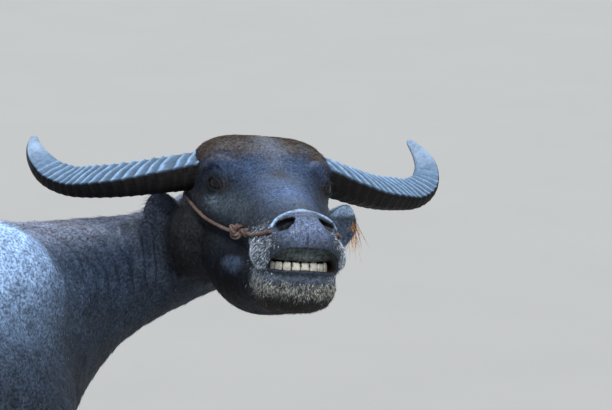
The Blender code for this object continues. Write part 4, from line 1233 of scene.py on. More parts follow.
def hide_colour(points):
    """The hide's colour at places in the body's frame: wet black skin, brown hair, painted sky sheen on the
    mound, back, neck and face, and painted shade round the eyes, under the jaw and in the nostrils.
    """
    head = in_head_frame(points)
    x, y, z = points.T
    grain = waves(points, 0.035, 31)
    patch = waves(points, 0.16, 32)
    # A blue-black base, its blue partly a painted sky sheen, mottled at random
    colour = SLATE + (BLACK - SLATE) * np.clip(0.42 + 0.16 * grain + 0.14 * patch, 0, 1)[:, None]

    def blend(towards, share):
        nonlocal colour
        colour = colour + (towards - colour) * np.clip(share, 0, 1)[:, None]

    # The lower sides greyer: the painted blue sky sheen fades out down the body
    blend(GREY_SIDE, 0.6 * rising(-z, -1.18, -0.95))
    # Painted sky sheen: the top of the back paler and bluer
    blend(SKY_SHEEN_PALE * 0.7, 0.45 * rising(z, 1.1, 1.26) * rising(-x, -0.6, -0.4))
    both = (points, points * (1, -1, 1))
    # Painted sky sheen: pale blue on each shoulder and a paler blue slate on each side of the neck
    for side in both:
        blend(SKY_SHEEN_PALE * 1.15, 0.85 * near(side, (0.47, -0.16, 1.2), (0.18, 0.1, 0.13)))
        blend(SLATE * 1.1, 0.6 * near(side, (0.78, -0.09, 1.16), (0.14, 0.07, 0.08)))
    # Painted sky sheen along the top of the neck, pale blue-grey, with brown patches of hair
    crest = rising(z, 1.15, 1.22) * np.exp(-((y / 0.07) ** 2))
    blend(BROW_GREY * 3.0, 0.85 * crest)
    blend(BROWN * 1.5, crest * np.clip(0.05 + 0.5 * waves(points, 0.05, 33), 0, 1) * 0.5)
    # Painted sky sheen: the bright pale blue patch on the shoulder mound and withers
    for side in both:
        mound = near(side, (0.45, -0.1, 1.25), (0.26, 0.12, 0.08)) * rising(-side[:, 0], -0.66, -0.54)
        blend(SKY_SHEEN_PALE * 2.2, 0.94 * mound)
    low = rising(-z, -0.62, -0.3)
    blend(EARTH, 0.65 * low)
    blend(GREY_SIDE * 1.6, 0.35 * rising(-z, -0.34, -0.26) * low)
    blend_head(head, blend)
    blend_ear(head, blend)
    blend_mouth(head, blend)
    return np.clip(colour, 0.002, 1)


def blend_ear(head, blend):
    """The left ear: pale blue above as a painted sky sheen, grey below, and painted shade at its root."""
    _, y, z = head.T
    ear_up = rising(np.abs(y), 0.118, 0.135) * (y > 0)
    ear_up = ear_up * np.clip(1.5 * near(head, (-0.04, 0.18, -0.09), (0.11, 0.1, 0.08)), 0, 1)
    blend(EAR_SHEEN_BLUE * 1.6, ear_up * rising(z, -0.094, -0.076))
    blend(EAR_GREY, 0.85 * ear_up * rising(-z, 0.078, 0.1))
    # Painted shade at the ear's root
    blend(DARK_SKIN_AND_SHADE, 0.9 * near(head, (0.012, 0.15, -0.082), (0.022, 0.03, 0.02)))


def blend_mouth(head, blend):
    """The dark gums and the grey pad of the upper jaw."""
    x, y, z = head.T
    inside = (x > 0.385) & (np.abs(y) < 0.06)
    gum = inside & (z > MOUTH_Z - 0.004) & (z < -0.121) & (x < 0.452)
    blend(GUM, gum * 0.9)
    pad = inside & (z > MOUTH_Z + 0.012) & (z < MOUTH_Z + 0.04)
    blend(PAD, pad * rising(x, 0.435, 0.445) * rising(-x, -0.47, -0.462) * 0.95)


def write_colours(obj, colours):
    layer = obj.data.color_attributes.new("tint", "FLOAT_COLOR", "POINT")
    rows = np.concatenate([colours, np.ones((len(colours), 1))], axis=1)
    layer.data.foreach_set("color", rows.astype(np.float32).ravel())


def mark_hide(skin):
    """Colours and the masks that the hide's finish reads."""
    points = points_of(skin)
    head = in_head_frame(points)
    write_colours(skin, hide_colour(points))
    on_head = rising(head[:, 0], -0.03, 0.05) * near(head, (0.24, 0, -0.06), (0.42, 0.2, 0.25))
    muzzle = near(head, (0.476, 0, -0.088), (0.026, 0.044, 0.026))
    inside = near(head, (0.44, 0, -0.136), (0.04, 0.056, 0.018))
    low = rising(-head[:, 2], 0.085, 0.14) * rising(0.4 - head[:, 0], 0.0, 0.05)
    eyes = near_both(head, (0.172, 0.108, -0.024), (0.04, 0.036, 0.026))
    wet = 0.75 * on_head * (1 - low) - 0.7 * eyes + muzzle + inside
    bare = near_both(points, (0.52, -0.15, 1.18), (0.24, 0.11, 0.16))
    for name, values in (("wet", wet), ("pebbled", 1.3 * muzzle), ("bare", bare)):
        layer = skin.data.attributes.new(name, "FLOAT", "POINT")
        layer.data.foreach_set("value", np.clip(values, 0, 1).astype(np.float32))


def piece_from(name, points, triangles):
    """A mesh object from arrays, in the body's frame."""
    mesh = bpy.data.meshes.new(name)
    mesh.vertices.add(len(points))
    mesh.vertices.foreach_set("co", points.astype(np.float32).ravel())
    mesh.loops.add(triangles.size)
    mesh.loops.foreach_set("vertex_index", triangles.astype(np.int32).ravel())
    mesh.polygons.add(len(triangles))
    mesh.polygons.foreach_set("loop_start", np.arange(0, triangles.size, 3, dtype=np.int32))
    mesh.update(calc_edges=True)
    return linked(name, mesh)


class Hide:
    """The finished skin as triangles to set hairs on, with an unwrap of its own shape."""

    def __init__(self, skin):
        mesh = skin.data
        mesh.calc_loop_triangles()
        faces = np.empty(len(mesh.loop_triangles) * 3, np.int32)
        mesh.loop_triangles.foreach_get("vertices", faces)
        self.faces = faces.reshape(-1, 3)
        self.points = points_of(skin)
        self.normals = normals_of(skin)
        a, b, c = (self.points[self.faces[:, k]] for k in range(3))
        self.areas = np.linalg.norm(np.cross(b - a, c - a), axis=1) / 2
        self.middles = (a + b + c) / 3
        self.unwrap(skin)

    def unwrap(self, skin):
        """Lays a coarser copy of the skin out flat by its own faces."""
        rough = linked("rough", skin.data.copy())
        step = rough.modifiers.new("fewer", "DECIMATE")
        step.ratio = UNWRAP_FACES / len(self.faces)
        apply_modifiers(rough)
        bpy.ops.object.select_all(action="DESELECT")
        bpy.context.view_layer.objects.active = rough
        rough.select_set(True)
        bpy.ops.object.mode_set(mode="EDIT")
        bpy.ops.mesh.select_all(action="SELECT")
        bpy.ops.uv.smart_project(angle_limit=math.radians(66), island_margin=0.004)
        bpy.ops.object.mode_set(mode="OBJECT")
        mesh = rough.data
        corners = np.array([tuple(p.loop_indices[:3]) for p in mesh.polygons])
        places = np.empty(len(mesh.loops) * 2, np.float32)
        mesh.uv_layers.active.data.foreach_get("uv", places)
        ends = np.empty(len(mesh.loops), np.int32)
        mesh.loops.foreach_get("vertex_index", ends)
        self.flat = places.reshape(-1, 2)[corners]
        self.solid = points_of(rough)[ends[corners]]
        self.tree = BVHTree.FromObject(rough, bpy.context.evaluated_depsgraph_get())
        remove(rough)

    def places_flat(self, points):
        """Where points on the skin fall on its unwrap."""
        found = [self.tree.find_nearest(Vector(p)) for p in points]
        near_by = np.array([tuple(f[0]) for f in found])
        index = np.array([f[2] for f in found])
        a, b, c = (self.solid[index, k] for k in range(3))
        ab, ac, ap = b - a, c - a, near_by - a
        d00, d01, d11 = (ab * ab).sum(1), (ab * ac).sum(1), (ac * ac).sum(1)
        d20, d21 = (ap * ab).sum(1), (ap * ac).sum(1)
        spread = np.maximum(d00 * d11 - d01 * d01, 1e-18)
        v = np.clip((d11 * d20 - d01 * d21) / spread, 0, 1)
        w = np.clip((d00 * d21 - d01 * d20) / spread, 0, 1)
        u = 1 - v - w
        return sum(s[:, None] * self.flat[index, k] for k, s in enumerate((u, v, w)))

    def scatter(self, count, weights, rng):
        """Random roots and their normals, where the weights of the faces allow."""
        share = self.areas * weights
        picked = rng.choice(len(self.faces), count, p=share / share.sum())
        u, v = rng.random(count), rng.random(count)
        over = u + v > 1
        u[over], v[over] = 1 - u[over], 1 - v[over]
        mix = np.stack([1 - u - v, u, v], 1)[:, :, None]
        corners = self.faces[picked]
        return (self.points[corners] * mix).sum(1), unit((self.normals[corners] * mix).sum(1))


def laid(normals, lies, rise):
    """Ways along the skin, across and up each hair, from how it lies and how far it rises."""
    lies = unit(lies - normals * (lies * normals).sum(1, keepdims=True))
    return lies, np.cross(normals, lies), unit(lies + normals * rise[:, None])


def three_round(middle, across, up, flat, reach):
    """The three corners of a hair at one level, flattened along its up way."""
    return [
        middle + (across * math.cos(a) + up * math.sin(a) * flat) * reach
        for a in map(math.radians, (90, 210, 330))
    ]


def hair_sides(levels):
    """The triangles round a three-sided hair, level by level."""
    faces = []
    for low in range(0, 3 * levels, 3):
        for i in range(3):
            j = (i + 1) % 3
            faces += [(low + i, low + j, low + 3 + i), (low + j, low + 3 + j, low + 3 + i)]
    return faces


def hairs(name, hide, roots, normals, lies, lengths, widths, rise, droop, colours):
    """Thin flat three-sided hairs or locks, rooted in the skin and bent over along their lie."""
    lies, across, stand = laid(normals, lies, rise)
    up = unit(np.cross(stand, across))
    rows = []
    for share, wide in ((0.0, 1.0), (0.5, 0.75)):
        middle = roots - normals * LONG_ROOT + stand * (lengths * share)[:, None]
        rows += three_round(middle, across, up, 0.5, (widths * wide / 2)[:, None])
    bent = unit(stand + (lies - normals * 0.3 + np.array((0, 0, -0.4))) * droop)
    rows.append(roots + stand * (lengths * 0.5)[:, None] + bent * (lengths * 0.5)[:, None])
    faces = [(0, 2, 1)] + hair_sides(1) + [(3, 4, 6), (4, 5, 6), (5, 3, 6)]
    spots = [(0, 0), (1, 0), (0, 1), (0.2, 0.2), (0.8, 0.2), (0.2, 0.8), (1, 1)]
    return dress_hairs(name, hide, rows, faces, roots, spots, colours)


def dress_hairs(name, hide, rows, faces, roots, spots, colours):
    """The mesh of one piece of coat, with its colours and its patches on the unwrap.

    rows holds the points of all hairs level by level, faces the triangles of one hair, and spots
    the place of each of its points in its patch.
    """
    firsts = len(spots) * np.arange(len(roots))
    triangles = (np.array(faces)[None] + firsts[:, None, None]).reshape(-1, 3)
    obj = piece_from(name, np.stack(rows, 1).reshape(-1, 3), triangles)
    write_colours(obj, np.repeat(colours, len(spots), axis=0))
    flat = hide.places_flat(roots)[:, None, :] + (np.array(spots)[None] - 0.5) * PATCH
    layer = obj.data.uv_layers.new(name="OFBake")
    layer.data.foreach_set("uv", flat.reshape(-1, 2)[triangles.ravel()].astype(np.float32).ravel())
    return finished(obj, "hair")


def short_hairs(name, hide, roots, normals, lies, lengths, widths, rise, colours):
    """Short straight tufts, four faces each, that lie on the skin."""
    _, across, stand = laid(normals, lies, rise)
    up = np.cross(stand, across)
    rows = three_round(roots - normals * SHORT_ROOT, across, up, 0.5, (widths / 2)[:, None])
    rows.append(roots + stand * lengths[:, None])
    faces = [(0, 2, 1), (0, 1, 3), (1, 2, 3), (2, 0, 3)]
    spots = [(0, 0), (1, 0), (0, 1), (1, 1)]
    return dress_hairs(name, hide, rows, faces, roots, spots, colours)


def lie_of(points):
    """Which way the short coat lies: back and down the body, and out from the brow's whorl."""
    head = in_head_frame(points)
    lies = np.tile(np.array((-0.7, 0.0, -0.7)), (len(points), 1))
    lies[:, 1] += 0.25 * np.sign(points[:, 1]) * rising(points[:, 2], 1.0, 1.2)
    leg = rising(-points[:, 2], -0.75, -0.55)
    lies = lies * (1 - leg[:, None]) + np.array((-0.15, 0, -1.0)) * leg[:, None]
    away = head - np.array((0.1, 0, 0.055))
    away[:, 1] *= 1.8
    away[:, 0] += 0.03
    on_head = on_the_head(head, -0.03, 0.03, 0.4)[:, None]
    return unit(lies * (1 - on_head) + unit(out_of_head(away)) * on_head)


def coat_piece(hide, name, weights, count, length, width, rise, colour, seed, droop, lie):
    """One piece of the coat: tufts scattered by weight, short and straight where nothing droops."""
    rng = np.random.default_rng(seed)
    roots, normals = hide.scatter(count, weights, rng)
    lies = lie(roots) + rng.normal(0, 0.2, (count, 3))
    lengths = rng.uniform(0.6, 1.25, count) * length
    widths = rng.uniform(0.7, 1.3, count) * width
    rises = rng.uniform(0.5, 1.5, count) * rise
    # Tufts that take the hide's colour carry its painted sky sheen and painted shade
    colours = hide_colour(roots) if colour is None else np.tile(colour, (count, 1))
    colours = colours * rng.uniform(0.4, 2.4, count)[:, None]
    if droop:
        return hairs(name, hide, roots, normals, lies, lengths, widths, rises, droop, colours)
    return short_hairs(name, hide, roots, normals, lies, lengths, widths, rises, colours)


def head_lie(points, ahead, aside, up):
    """A lie given on the head: ahead, out to each side and up."""
    out = np.sign(in_head_frame(points)[:, 1])
    return out_of_head(np.stack([np.full(len(points), ahead), aside * out, np.full(len(points), up)], 1))


def lash_lie(points):
    return head_lie(points, 0.5, 0.9, -0.25)


def ear_lie(points):
    return head_lie(points, -0.6, 0.8, -0.7)


def lip_lie(points):
    return head_lie(points, 0.1, 0.9 * (np.abs(in_head_frame(points)[:, 1]) / 0.08), -1.0)


def strand_lie(points):
    return np.tile(np.array((0.1, -0.1, -1.0)), (len(points), 1))


# The pieces of the coat: how many tufts, their length, width and rise, their colour (None takes the
# hide's), the seed of their draws, how far they droop and which way they lie
COAT = {
    "coat_body_1": (46000, 0.015, 0.0009, 0.16, None, 41, 0, lie_of),
    "coat_body_2": (46000, 0.015, 0.0009, 0.16, None, 42, 0, lie_of),
    "coat_crest": (5000, 0.018, 0.0008, 0.25, None, 44, 0.4, lie_of),
    "coat_brow": (16000, 0.014, 0.0008, 0.12, BROWN, 45, 0.2, lie_of),
    "coat_face_1": (48000, 0.009, 0.0007, 0.08, None, 51, 0, lie_of),
    "coat_face_2": (48000, 0.009, 0.0007, 0.08, None, 52, 0, lie_of),
    "coat_lips": (5600, 0.0075, 0.00048, 0.45, LIP_HAIR, 47, 0.5, lip_lie),
    "coat_chin": (4600, 0.0095, 0.00062, 0.2, BRISTLE, 48, 0.4, lip_lie),
    "coat_under_chin": (3600, 0.011, 0.0005, 0.22, BROWN * 0.7, 58, 0.4, lip_lie),
    "coat_ears": (9000, 0.0075, 0.0004, 0.12, None, 49, 0, ear_lie),
    "coat_ear_strands": (70, 0.06, 0.0009, 0.2, GOLD, 56, 1.2, strand_lie),
    "coat_ear_whiskers": (160, 0.03, 0.0006, 0.45, WHISKER, 57, 0.6, ear_lie),
    "coat_lashes": (150, 0.007, 0.00045, 0.9, WHISKER, 59, 0.3, lash_lie),
}


def coat(hide):
    """The sparse coat, piece by piece."""
    at = hide.middles
    head = in_head_frame(at)
    weights = {**body_weights(at, head), **face_weights(head), **ear_weights(head)}
    for name, row in COAT.items():
        coat_piece(hide, name, weights[name], *row)


def body_weights(at, head):
    """Thin on the bare shoulder, longer along the crest, and nothing on the head and the hooves."""
    above_hoof = 1.0 * (at[:, 2] > HOOF_HEIGHT + 0.004)
    body = above_hoof * np.clip(1 - 1.2 * on_the_head(head, -0.05, 0.02, 0.45), 0, 1)
    bare = near_both(at, (0.52, -0.15, 1.18), (0.22, 0.1, 0.14))
    thin = body * (1 - 0.85 * np.clip(bare, 0, 1))
    top_line = rising(at[:, 2], 1.14, 1.2) * np.exp(-((at[:, 1] / 0.05) ** 2))
    crest = body * top_line * rising(at[:, 0], 0.1, 0.6)
    return {"coat_body_1": thin, "coat_body_2": thin, "coat_crest": crest}


def face_weights(head):
    """The brow, the face clear of eyes, mouth and muzzle, the lips, the chin and the lashes."""
    x, y, z = head.T
    mouth = (x > 0.375) & (np.abs(y) < 0.061) & (np.abs(z + 0.138) < 0.023)
    lenses = [np.array(on_side(EYE, side)) + np.array(eye_axes(side)[0]) * EYE_RADIUS for side in SIDES]
    eyes = sum(near(head, lens, (0.016, 0.016, 0.013)) for lens in lenses)
    clear = ~mouth * np.clip(1 - 1.3 * eyes, 0, 1)
    off_pad = np.clip(1 - 1.2 * near(head, (0.478, 0, -0.09), (0.036, 0.05, 0.034)), 0, 1)
    off_rim = rising(distance_to_line(np.stack([x, np.abs(y), z], 1), NOSE_RIM)[0], 0.008, 0.014)
    whorl = near(head, (0.11, 0, 0.06), (0.035, 0.022, 0.03))
    face = on_the_head(head, -0.05, 0.02, 0.45) * rising(x, -0.02, 0.02) * off_pad * clear * off_rim
    lips = near(head, (0.425, 0, -0.13), (0.055, 0.12, 0.036)) * rising(np.abs(y), 0.038, 0.06)
    return {
        "coat_brow": near(head, (0.04, 0, 0.05), (0.08, 0.11, 0.05)) * (1 - 0.7 * whorl),
        "coat_face_1": face,
        "coat_face_2": face,
        "coat_lips": lips * off_pad * ~mouth * off_rim,
        "coat_chin": near(head, (0.44, 0, -0.186), (0.045, 0.085, 0.0125)) * ~mouth,
        "coat_under_chin": near(head, (0.43, 0, -0.22), (0.05, 0.085, 0.016)),
        "coat_lashes": sum(lash_line(head, side) for side in SIDES),
    }


def ear_weights(head):
    """The ears, the long strands of the left one's edge and the whiskers of the right one's."""
    y = head[:, 1]
    ears = near(head, (-0.04, 0.165, -0.108), (0.07, 0.07, 0.06))
    ears = ears + near(head, (-0.04, -0.15, -0.102), (0.07, 0.06, 0.06))
    left_edge = near(head, (-0.078, 0.216, -0.102), (0.022, 0.02, 0.018)) * (y > 0.208)
    right_edge = near(head, (-0.07, -0.17, -0.08), (0.06, 0.035, 0.05)) * (y < -0.13)
    ears = ears * rising(np.abs(y), 0.112, 0.13)
    return {"coat_ears": ears, "coat_ear_strands": left_edge, "coat_ear_whiskers": right_edge}


def lash_line(head, side):
    """Where an upper lid's edge is."""
    level, rise, depth = seen_from_eye(head, side)
    ring = np.hypot(level / EYE_OPENING[0], rise / EYE_OPENING[1])
    return (depth > 0.012) * (rise > 0.001) * (np.abs(ring - 1.1) < 0.12) * 1.0


def finished(obj, finish):
    """Gives a piece its finish and moves it to its place in the frame, to ride with the rest."""
    obj.data.shade_smooth()
    obj.data.materials.append(FINISHES[finish])
    obj.data.transform(MOVE)
    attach(obj, "root")
    return obj


def growth_ridges(share, around, wobble):
    """The height of the growth ridges round one ring of a horn, each ridge a little off its place."""
    round_it = 2 * math.pi * around
    wave = 0.1 * np.sin(round_it * 2 + 11 * share) + 0.05 * np.sin(round_it * 7)
    phase = share / HORN_RIDGED_SHARE * HORN_RIDGES + wave
    within = (phase + np.interp(phase % len(wobble), range(len(wobble)), wobble)) % 1.0
    return np.exp(-(((within - 0.72) / 0.13) ** 2)) + 0.45 * within * rising(1 - within, 0.0, 0.22)


def horn_ring(row, along, side, twist, outline, fade):
    """One ring of a horn from its outline, whose rows hold ahead, rise, reach and lean."""
    front = (Vector((1, 0, 0)) - along * along.x).normalized()
    up = front.cross(along) * side
    c, s = math.cos(twist), math.sin(twist)
    ring = []
    for ahead, rise, reach, lean in outline:
        ahead, rise = ahead * c - rise * s, ahead * s + rise * c
        place = Vector(row[:3]) + (front * ahead + up * rise) * float(reach)
        ring.append(place - along * row[3] * HORN_LEAN * float(lean) * fade)
    return ring


def horn(name, table, side, seed):
    """A keeled crescent horn: ridged, with a smooth tip; painted sky sheen makes it pale above, and it is
    dark in front, darkened further by painted shade.
    """
    outline = read_smoothly(HORN_SECTION, HORN_FINE + 1)[:-1]
    around = np.arange(HORN_FINE) / HORN_FINE
    # The upper face, which gets the painted sky sheen; the rest gets the dark horn with painted shade
    top = rising(0.36 - around, 0.0, 0.05) * rising(around, -0.02, 0.012)
    top = np.maximum(top, 0.7 * rising(around, 0.975, 0.995))
    ridged = 0.3 + 0.7 * np.maximum(rising(0.44 - around, 0.0, 0.08), rising(around, 0.93, 0.98))
    lean = ridged * np.clip(outline[:, 1], 0, 1)
    fine = read_smoothly(table, HORN_RINGS)
    twists = np.radians(read_smoothly([(t,) for t in HORN_TWIST], HORN_RINGS)[:, 0])
    wobble = np.random.default_rng(seed).uniform(-0.16, 0.16, 64)
    rings, colours = [], []
    for i, row in enumerate(fine):
        share = i / (HORN_RINGS - 1)
        fade = min(1.0, 14 * share) * max(0.0, 1 - (share / (HORN_RIDGED_SHARE + 0.08)) ** 7)
        crest = growth_ridges(share, around, wobble)
        fibre = 0.006 * np.sin(2 * math.pi * 23 * around + 3 * math.sin(7 * share))
        point = math.sqrt(max(0.02, 1 - max(0.0, (share - 0.965) / 0.035) ** 2))
        size = row[3] * 0.985 * point * (1 + HORN_RIDGE_DEPTH * fade * ridged * (crest - 0.45) + fibre)
        along = heading_at(fine[:, :3], i)
        rings.append(horn_ring(row, along, side, twists[i], zip(*outline.T, size, lean), fade))
        colours.append(horn_shade(share, around, top, crest, fade))
    bm = loft(rings)
    bm.transform(HEAD)
    obj = object_from("fine_" + name, bm)
    rows = np.concatenate(colours)
    write_colours(obj, np.concatenate([rows, rows[:1], rows[-1:]]))
    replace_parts(finished(obj, "horn"), name)


def horn_shade(share, around, top, crest, fade):
    """Colours round one ring of a horn: painted sky sheen on the upper face with painted highlights on the
    ridges' crests, and dark horn in front, darkened further by painted shade.
    """
    tip = float(rising(np.array(share), 0.7, 0.86))
    # Painted sky sheen on the upper face, lighter on the ridges' crests as a painted highlight
    upper = HORN_SKY_SHEEN * (0.5 + 1.2 * np.clip(crest, 0, 1.2) * fade + 0.5 * (1 - fade))[:, None]
    upper = upper + (HORN_TIP - upper) * tip
    streak = 0.5 + 0.5 * np.sin(2 * math.pi * 31 * around + 40 * share) * math.sin(17 * share)
    # The dark front horn, darkened further as painted shade and lighter on the crests
    lower = HORN_DARK_AND_SHADE * (1 + 0.9 * np.clip(crest, 0, 1) * fade + 0.5 * streak)[:, None]
    lower = lower + (HORN_TIP * 0.35 - lower) * tip * 0.5
    return (lower + (upper - lower) * top[:, None]) * (0.88 + 0.12 * streak)[:, None]


def eyeball(name, side):
    """A wet dark eye that bulges a little: wide pupil, dark brown iris and near black at the edge."""
    bm = bmesh.new()
    bmesh.ops.create_uvsphere(bm, u_segments=64, v_segments=40, radius=EYE_RADIUS)
    centre = HEAD @ on_side(EYE, side)
    bm.transform(Matrix.Translation(centre))
    obj = object_from("fine_" + name, bm)
    way = (points_of(obj) - np.array(centre)) / EYE_RADIUS
    out, back, up = (np.array(HEAD.to_3x3() @ axis) for axis in eye_axes(side))
    facing, level, rise = way @ out, way @ back, way @ up
    iris = rising(facing, 0.66, 0.72)[:, None]
    pupil = rising(-((level / 0.42) ** 2 + (rise / 0.24) ** 2), -1.1, -0.9)[:, None] * (facing > 0)[:, None]
    colour = np.tile(EYE_EDGE, (len(way), 1))
    colour = colour * (1 - iris) + IRIS * iris
    write_colours(obj, colour * (1 - pupil) + PUPIL * pupil)
    set_points(obj, points_of(obj) + out * (EYE_BULGE * rising(facing, 0.6, 0.95))[:, None])
    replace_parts(finished(obj, "eye"), name)


def one_tooth(turn, width, rng):
    """A worn tooth, rounded at its edges and a little askew, at its place on the arc."""
    height = TOOTH_HEIGHT * rng.uniform(0.84, 1.04)
    bm = bmesh.new()
    bmesh.ops.create_cube(bm, size=1.0)
    sizes = Matrix.Diagonal((TOOTH_DEPTH, width - 0.0004, height + TOOTH_SUNK, 1))
    bm.transform(Matrix.Translation((0, 0, (height - TOOTH_SUNK) / 2)) @ sizes)
    bmesh.ops.subdivide_edges(bm, edges=bm.edges[:], cuts=7, use_grid_fill=True)
    for vertex in bm.verts:
        x, y, z = vertex.co
        level = max(0.0, z) / height
        round_x = math.sqrt(max(0.0, 1 - (2 * y / width) ** 4))
        vertex.co.x = x * (0.55 + 0.45 * round_x) * (1 - 0.35 * level)
        vertex.co.y = y * (0.86 + 0.14 * math.sin(math.pi * min(1.0, 0.15 + 0.75 * level)))
        edge = (2 * y / width) ** 4 + 0.6 * (2 * x / TOOTH_DEPTH) ** 4
        if z > 0:
            vertex.co.z = z - 0.0022 * edge * level + 0.0006 * math.sin(900 * y + 5 * turn)
    bm.transform(
        HEAD @ Matrix.Translation(on_teeth_arc(turn))
        @ Matrix.Rotation(turn + rng.uniform(-0.05, 0.05), 4, "Z")
        @ Matrix.Rotation(rng.uniform(-0.04, 0.04), 4, "X")
    )
    return bm


def teeth():
    """Eight worn lower front teeth, ivory with brown at the gaps and roots."""
    rng = random.Random(5)
    shapes = []
    for side in SIDES:
        reached = 0.0
        for width in TOOTH_WIDTHS:
            shapes.append(one_tooth(side * (reached + width / 2) / TEETH_ARC_RADIUS, width, rng))
            reached += width
    obj = object_from("teeth", gathered(shapes))
    head = in_head_frame(points_of(obj))
    low = rising(-head[:, 2], -MOUTH_Z - 0.0075, -MOUTH_Z - 0.0005)
    gaps = [(TEETH_FRONT, gap, MOUTH_Z + 0.007) for gap in TOOTH_GAPS]
    dark = np.clip(1.3 * sum(near(head, gap, (0.02, 0.0024, 0.003)) for gap in gaps), 0, 1)[:, None]
    stain = np.clip(0.4 * low + 0.1 * waves(head, 0.004, 71), 0, 1)[:, None]
    colour = IVORY * (1 - stain) + STAIN * stain
    write_colours(obj, colour * (1 - dark) + TOOTH_SPOT * dark)
    finished(obj, "tooth")


def rope_line(tree):
    """The worn rope's line, laid on the skin by its own radius."""
    half = [Vector(p) for p in ROPE_ROUTE]
    laid = []
    for place in read_smoothly(half + mirror_line(half[:-1]), ROPE_FINE):
        point, normal = tree.find_nearest(HEAD @ Vector(place))[:2]
        laid.append(point + normal * (ROPE_RADIUS * 0.9))
    for _ in range(12):
        middle = [(laid[i - 1] + laid[i] * 2 + laid[i + 1]) / 4 for i in range(1, len(laid) - 1)]
        laid = [laid[0]] + middle + [laid[-1]]
    return laid


def strand_round(line, strand):
    """One of three strands twisted round a line."""
    points, turn = [], 2 * math.pi * strand / 3
    across = (line[1] - line[0]).orthogonal().normalized()
    for i, point in enumerate(line):
        along = heading_at(line, i)
        across = (across - along * across.dot(along)).normalized()
        up = along.cross(across)
        if i:
            turn += 2 * math.pi * (point - line[i - 1]).length / ROPE_TWIST
        points.append(point + (across * math.cos(turn) + up * math.sin(turn)) * ROPE_RADIUS * STRAND_OUT)
    return points


def knot(centre, size, way, strand, roll):
    """A closed three-lobed knot of one strand, rolled about the rope."""
    turned = Matrix.Rotation(roll, 3, way) @ way.to_track_quat("X", "Z").to_matrix()
    points = []
    for t in np.linspace(0, 2 * math.pi, 90):
        local = Vector((
            -math.sin(3 * t) * 0.9,
            (math.sin(t) + 2 * math.sin(2 * t)) / 2.2,
            (math.cos(t) - 2 * math.cos(2 * t)) / 2.2,
        ))
        points.append(centre + turned @ local * size)
    return tube(points, strand, 10)


def nose_rope(skin):
    """The twisted rope loop with its big knot on the right cheek and a small one ahead of it."""
    tree = BVHTree.FromObject(skin, bpy.context.evaluated_depsgraph_get())
    line = rope_line(tree)
    shapes = [tube(strand_round(line, s), ROPE_RADIUS * STRAND_THICK, 8) for s in range(3)]
    for place, size, strand, roll in KNOTS:
        point, normal = tree.find_nearest(HEAD @ place)[:2]
        centre = point + normal * (size * 1.05)
        along = min(range(1, len(line) - 1), key=lambda i: (line[i] - centre).length)
        way = (line[along + 1] - line[along - 1]).normalized()
        shapes.append(knot(centre, size, way, strand, roll))
    obj = object_from("twisted_rope", gathered(shapes))
    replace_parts(finished(obj, "rope"), "nose_rope")


def claw(name, forward, side, half, outside):
    """One of a hoof's two claws, with worn edges and growth lines."""
    centre_y = side * (LEG_SPREAD + half)
    lean = outside * side
    rings = []
    for i, (z, length, back, wide) in enumerate(read_smoothly(CLAW, 40)):
        reach = HOOF_LENGTH / 2 * length * (1 - 0.012 * abs(math.sin(1.3 * i)))
        ring = []
        for a in np.linspace(-math.pi / 2, math.pi / 2, 33):
            x = forward + HOOF_OFFSET + 0.006 + back + reach * math.sin(a)
            y = CLAW_SLIT / 2 + CLAW_WIDTH * wide * max(math.cos(a), 0.0) ** 0.6
            ring.append(Vector((x, centre_y + lean * y, max(0.0, z))))
        rings.append(ring)
    obj = object_from("fine_" + name, loft(rings))
    points = points_of(obj)
    shade = 1 + 0.35 * waves(points, 0.02, 81) + 0.9 * rising(-points[:, 2], -0.02, 0.0)
    write_colours(obj, CLAW_COLOUR * np.clip(shade, 0.4, 2.5)[:, None])
    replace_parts(finished(obj, "claw"), name)
    obj.data.set_sharp_from_angle(angle=math.radians(50))


def tail_switch(hide):
    """The tail's long hair, in bent locks that hang together."""
    rng = np.random.default_rng(61)
    x, y, _, radius = TAIL[-1]
    count = TUFT_HAIRS
    upwards = np.array((0, 0, 1))
    turn = rng.uniform(0, 2 * math.pi, count)
    down = rng.uniform(-0.02, 0.13, count)
    outward = np.stack([np.cos(turn), np.sin(turn), np.zeros(count)], 1)
    thick = radius * np.where(down < 0.0, 1.0, np.clip(1.1 - down * 4, 0.3, 1.0))
    roots = np.array((x, y, TUFT_TOP)) + outward * thick[:, None] - upwards * down[:, None]
    reach = TUFT_LENGTH * rng.uniform(0.7, 0.99, count) - down
    lock = 2.4 * (turn // 0.6)
    clump = np.stack([np.cos(lock), np.sin(lock), np.zeros(count)], 1)
    across = np.cross(outward, (0, 0, 1.0))
    rows = []
    for level in range(TUFT_LEVELS + 1):
        share = level / TUFT_LEVELS
        spread = 0.017 * math.sin(math.pi * min(1.0, 0.75 * share))
        middle = roots + outward * spread + clump * 0.012 * share**2
        stray = rng.normal(0, 0.0012, (count, 3)) * share
        middle = middle + stray - upwards * (reach * share)[:, None]
        rows += three_round(middle, across, outward, 0.6, 0.0022 * (1 - share) ** 0.6 + 0.0002)
    last = len(rows) - 1
    faces = [(0, 2, 1), (last - 2, last - 1, last)] + hair_sides(TUFT_LEVELS)
    downs = np.repeat(np.linspace(0, 1, TUFT_LEVELS + 1), 3)
    spots = np.stack([np.tile((0.0, 1.0, 0.5), TUFT_LEVELS + 1), downs], 1)
    tones = rng.uniform(0.5, 1.5, count)[:, None] * TUFT_BROWN
    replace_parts(dress_hairs("tail_switch", hide, rows, faces, roots, spots, tones), "tail_tuft")


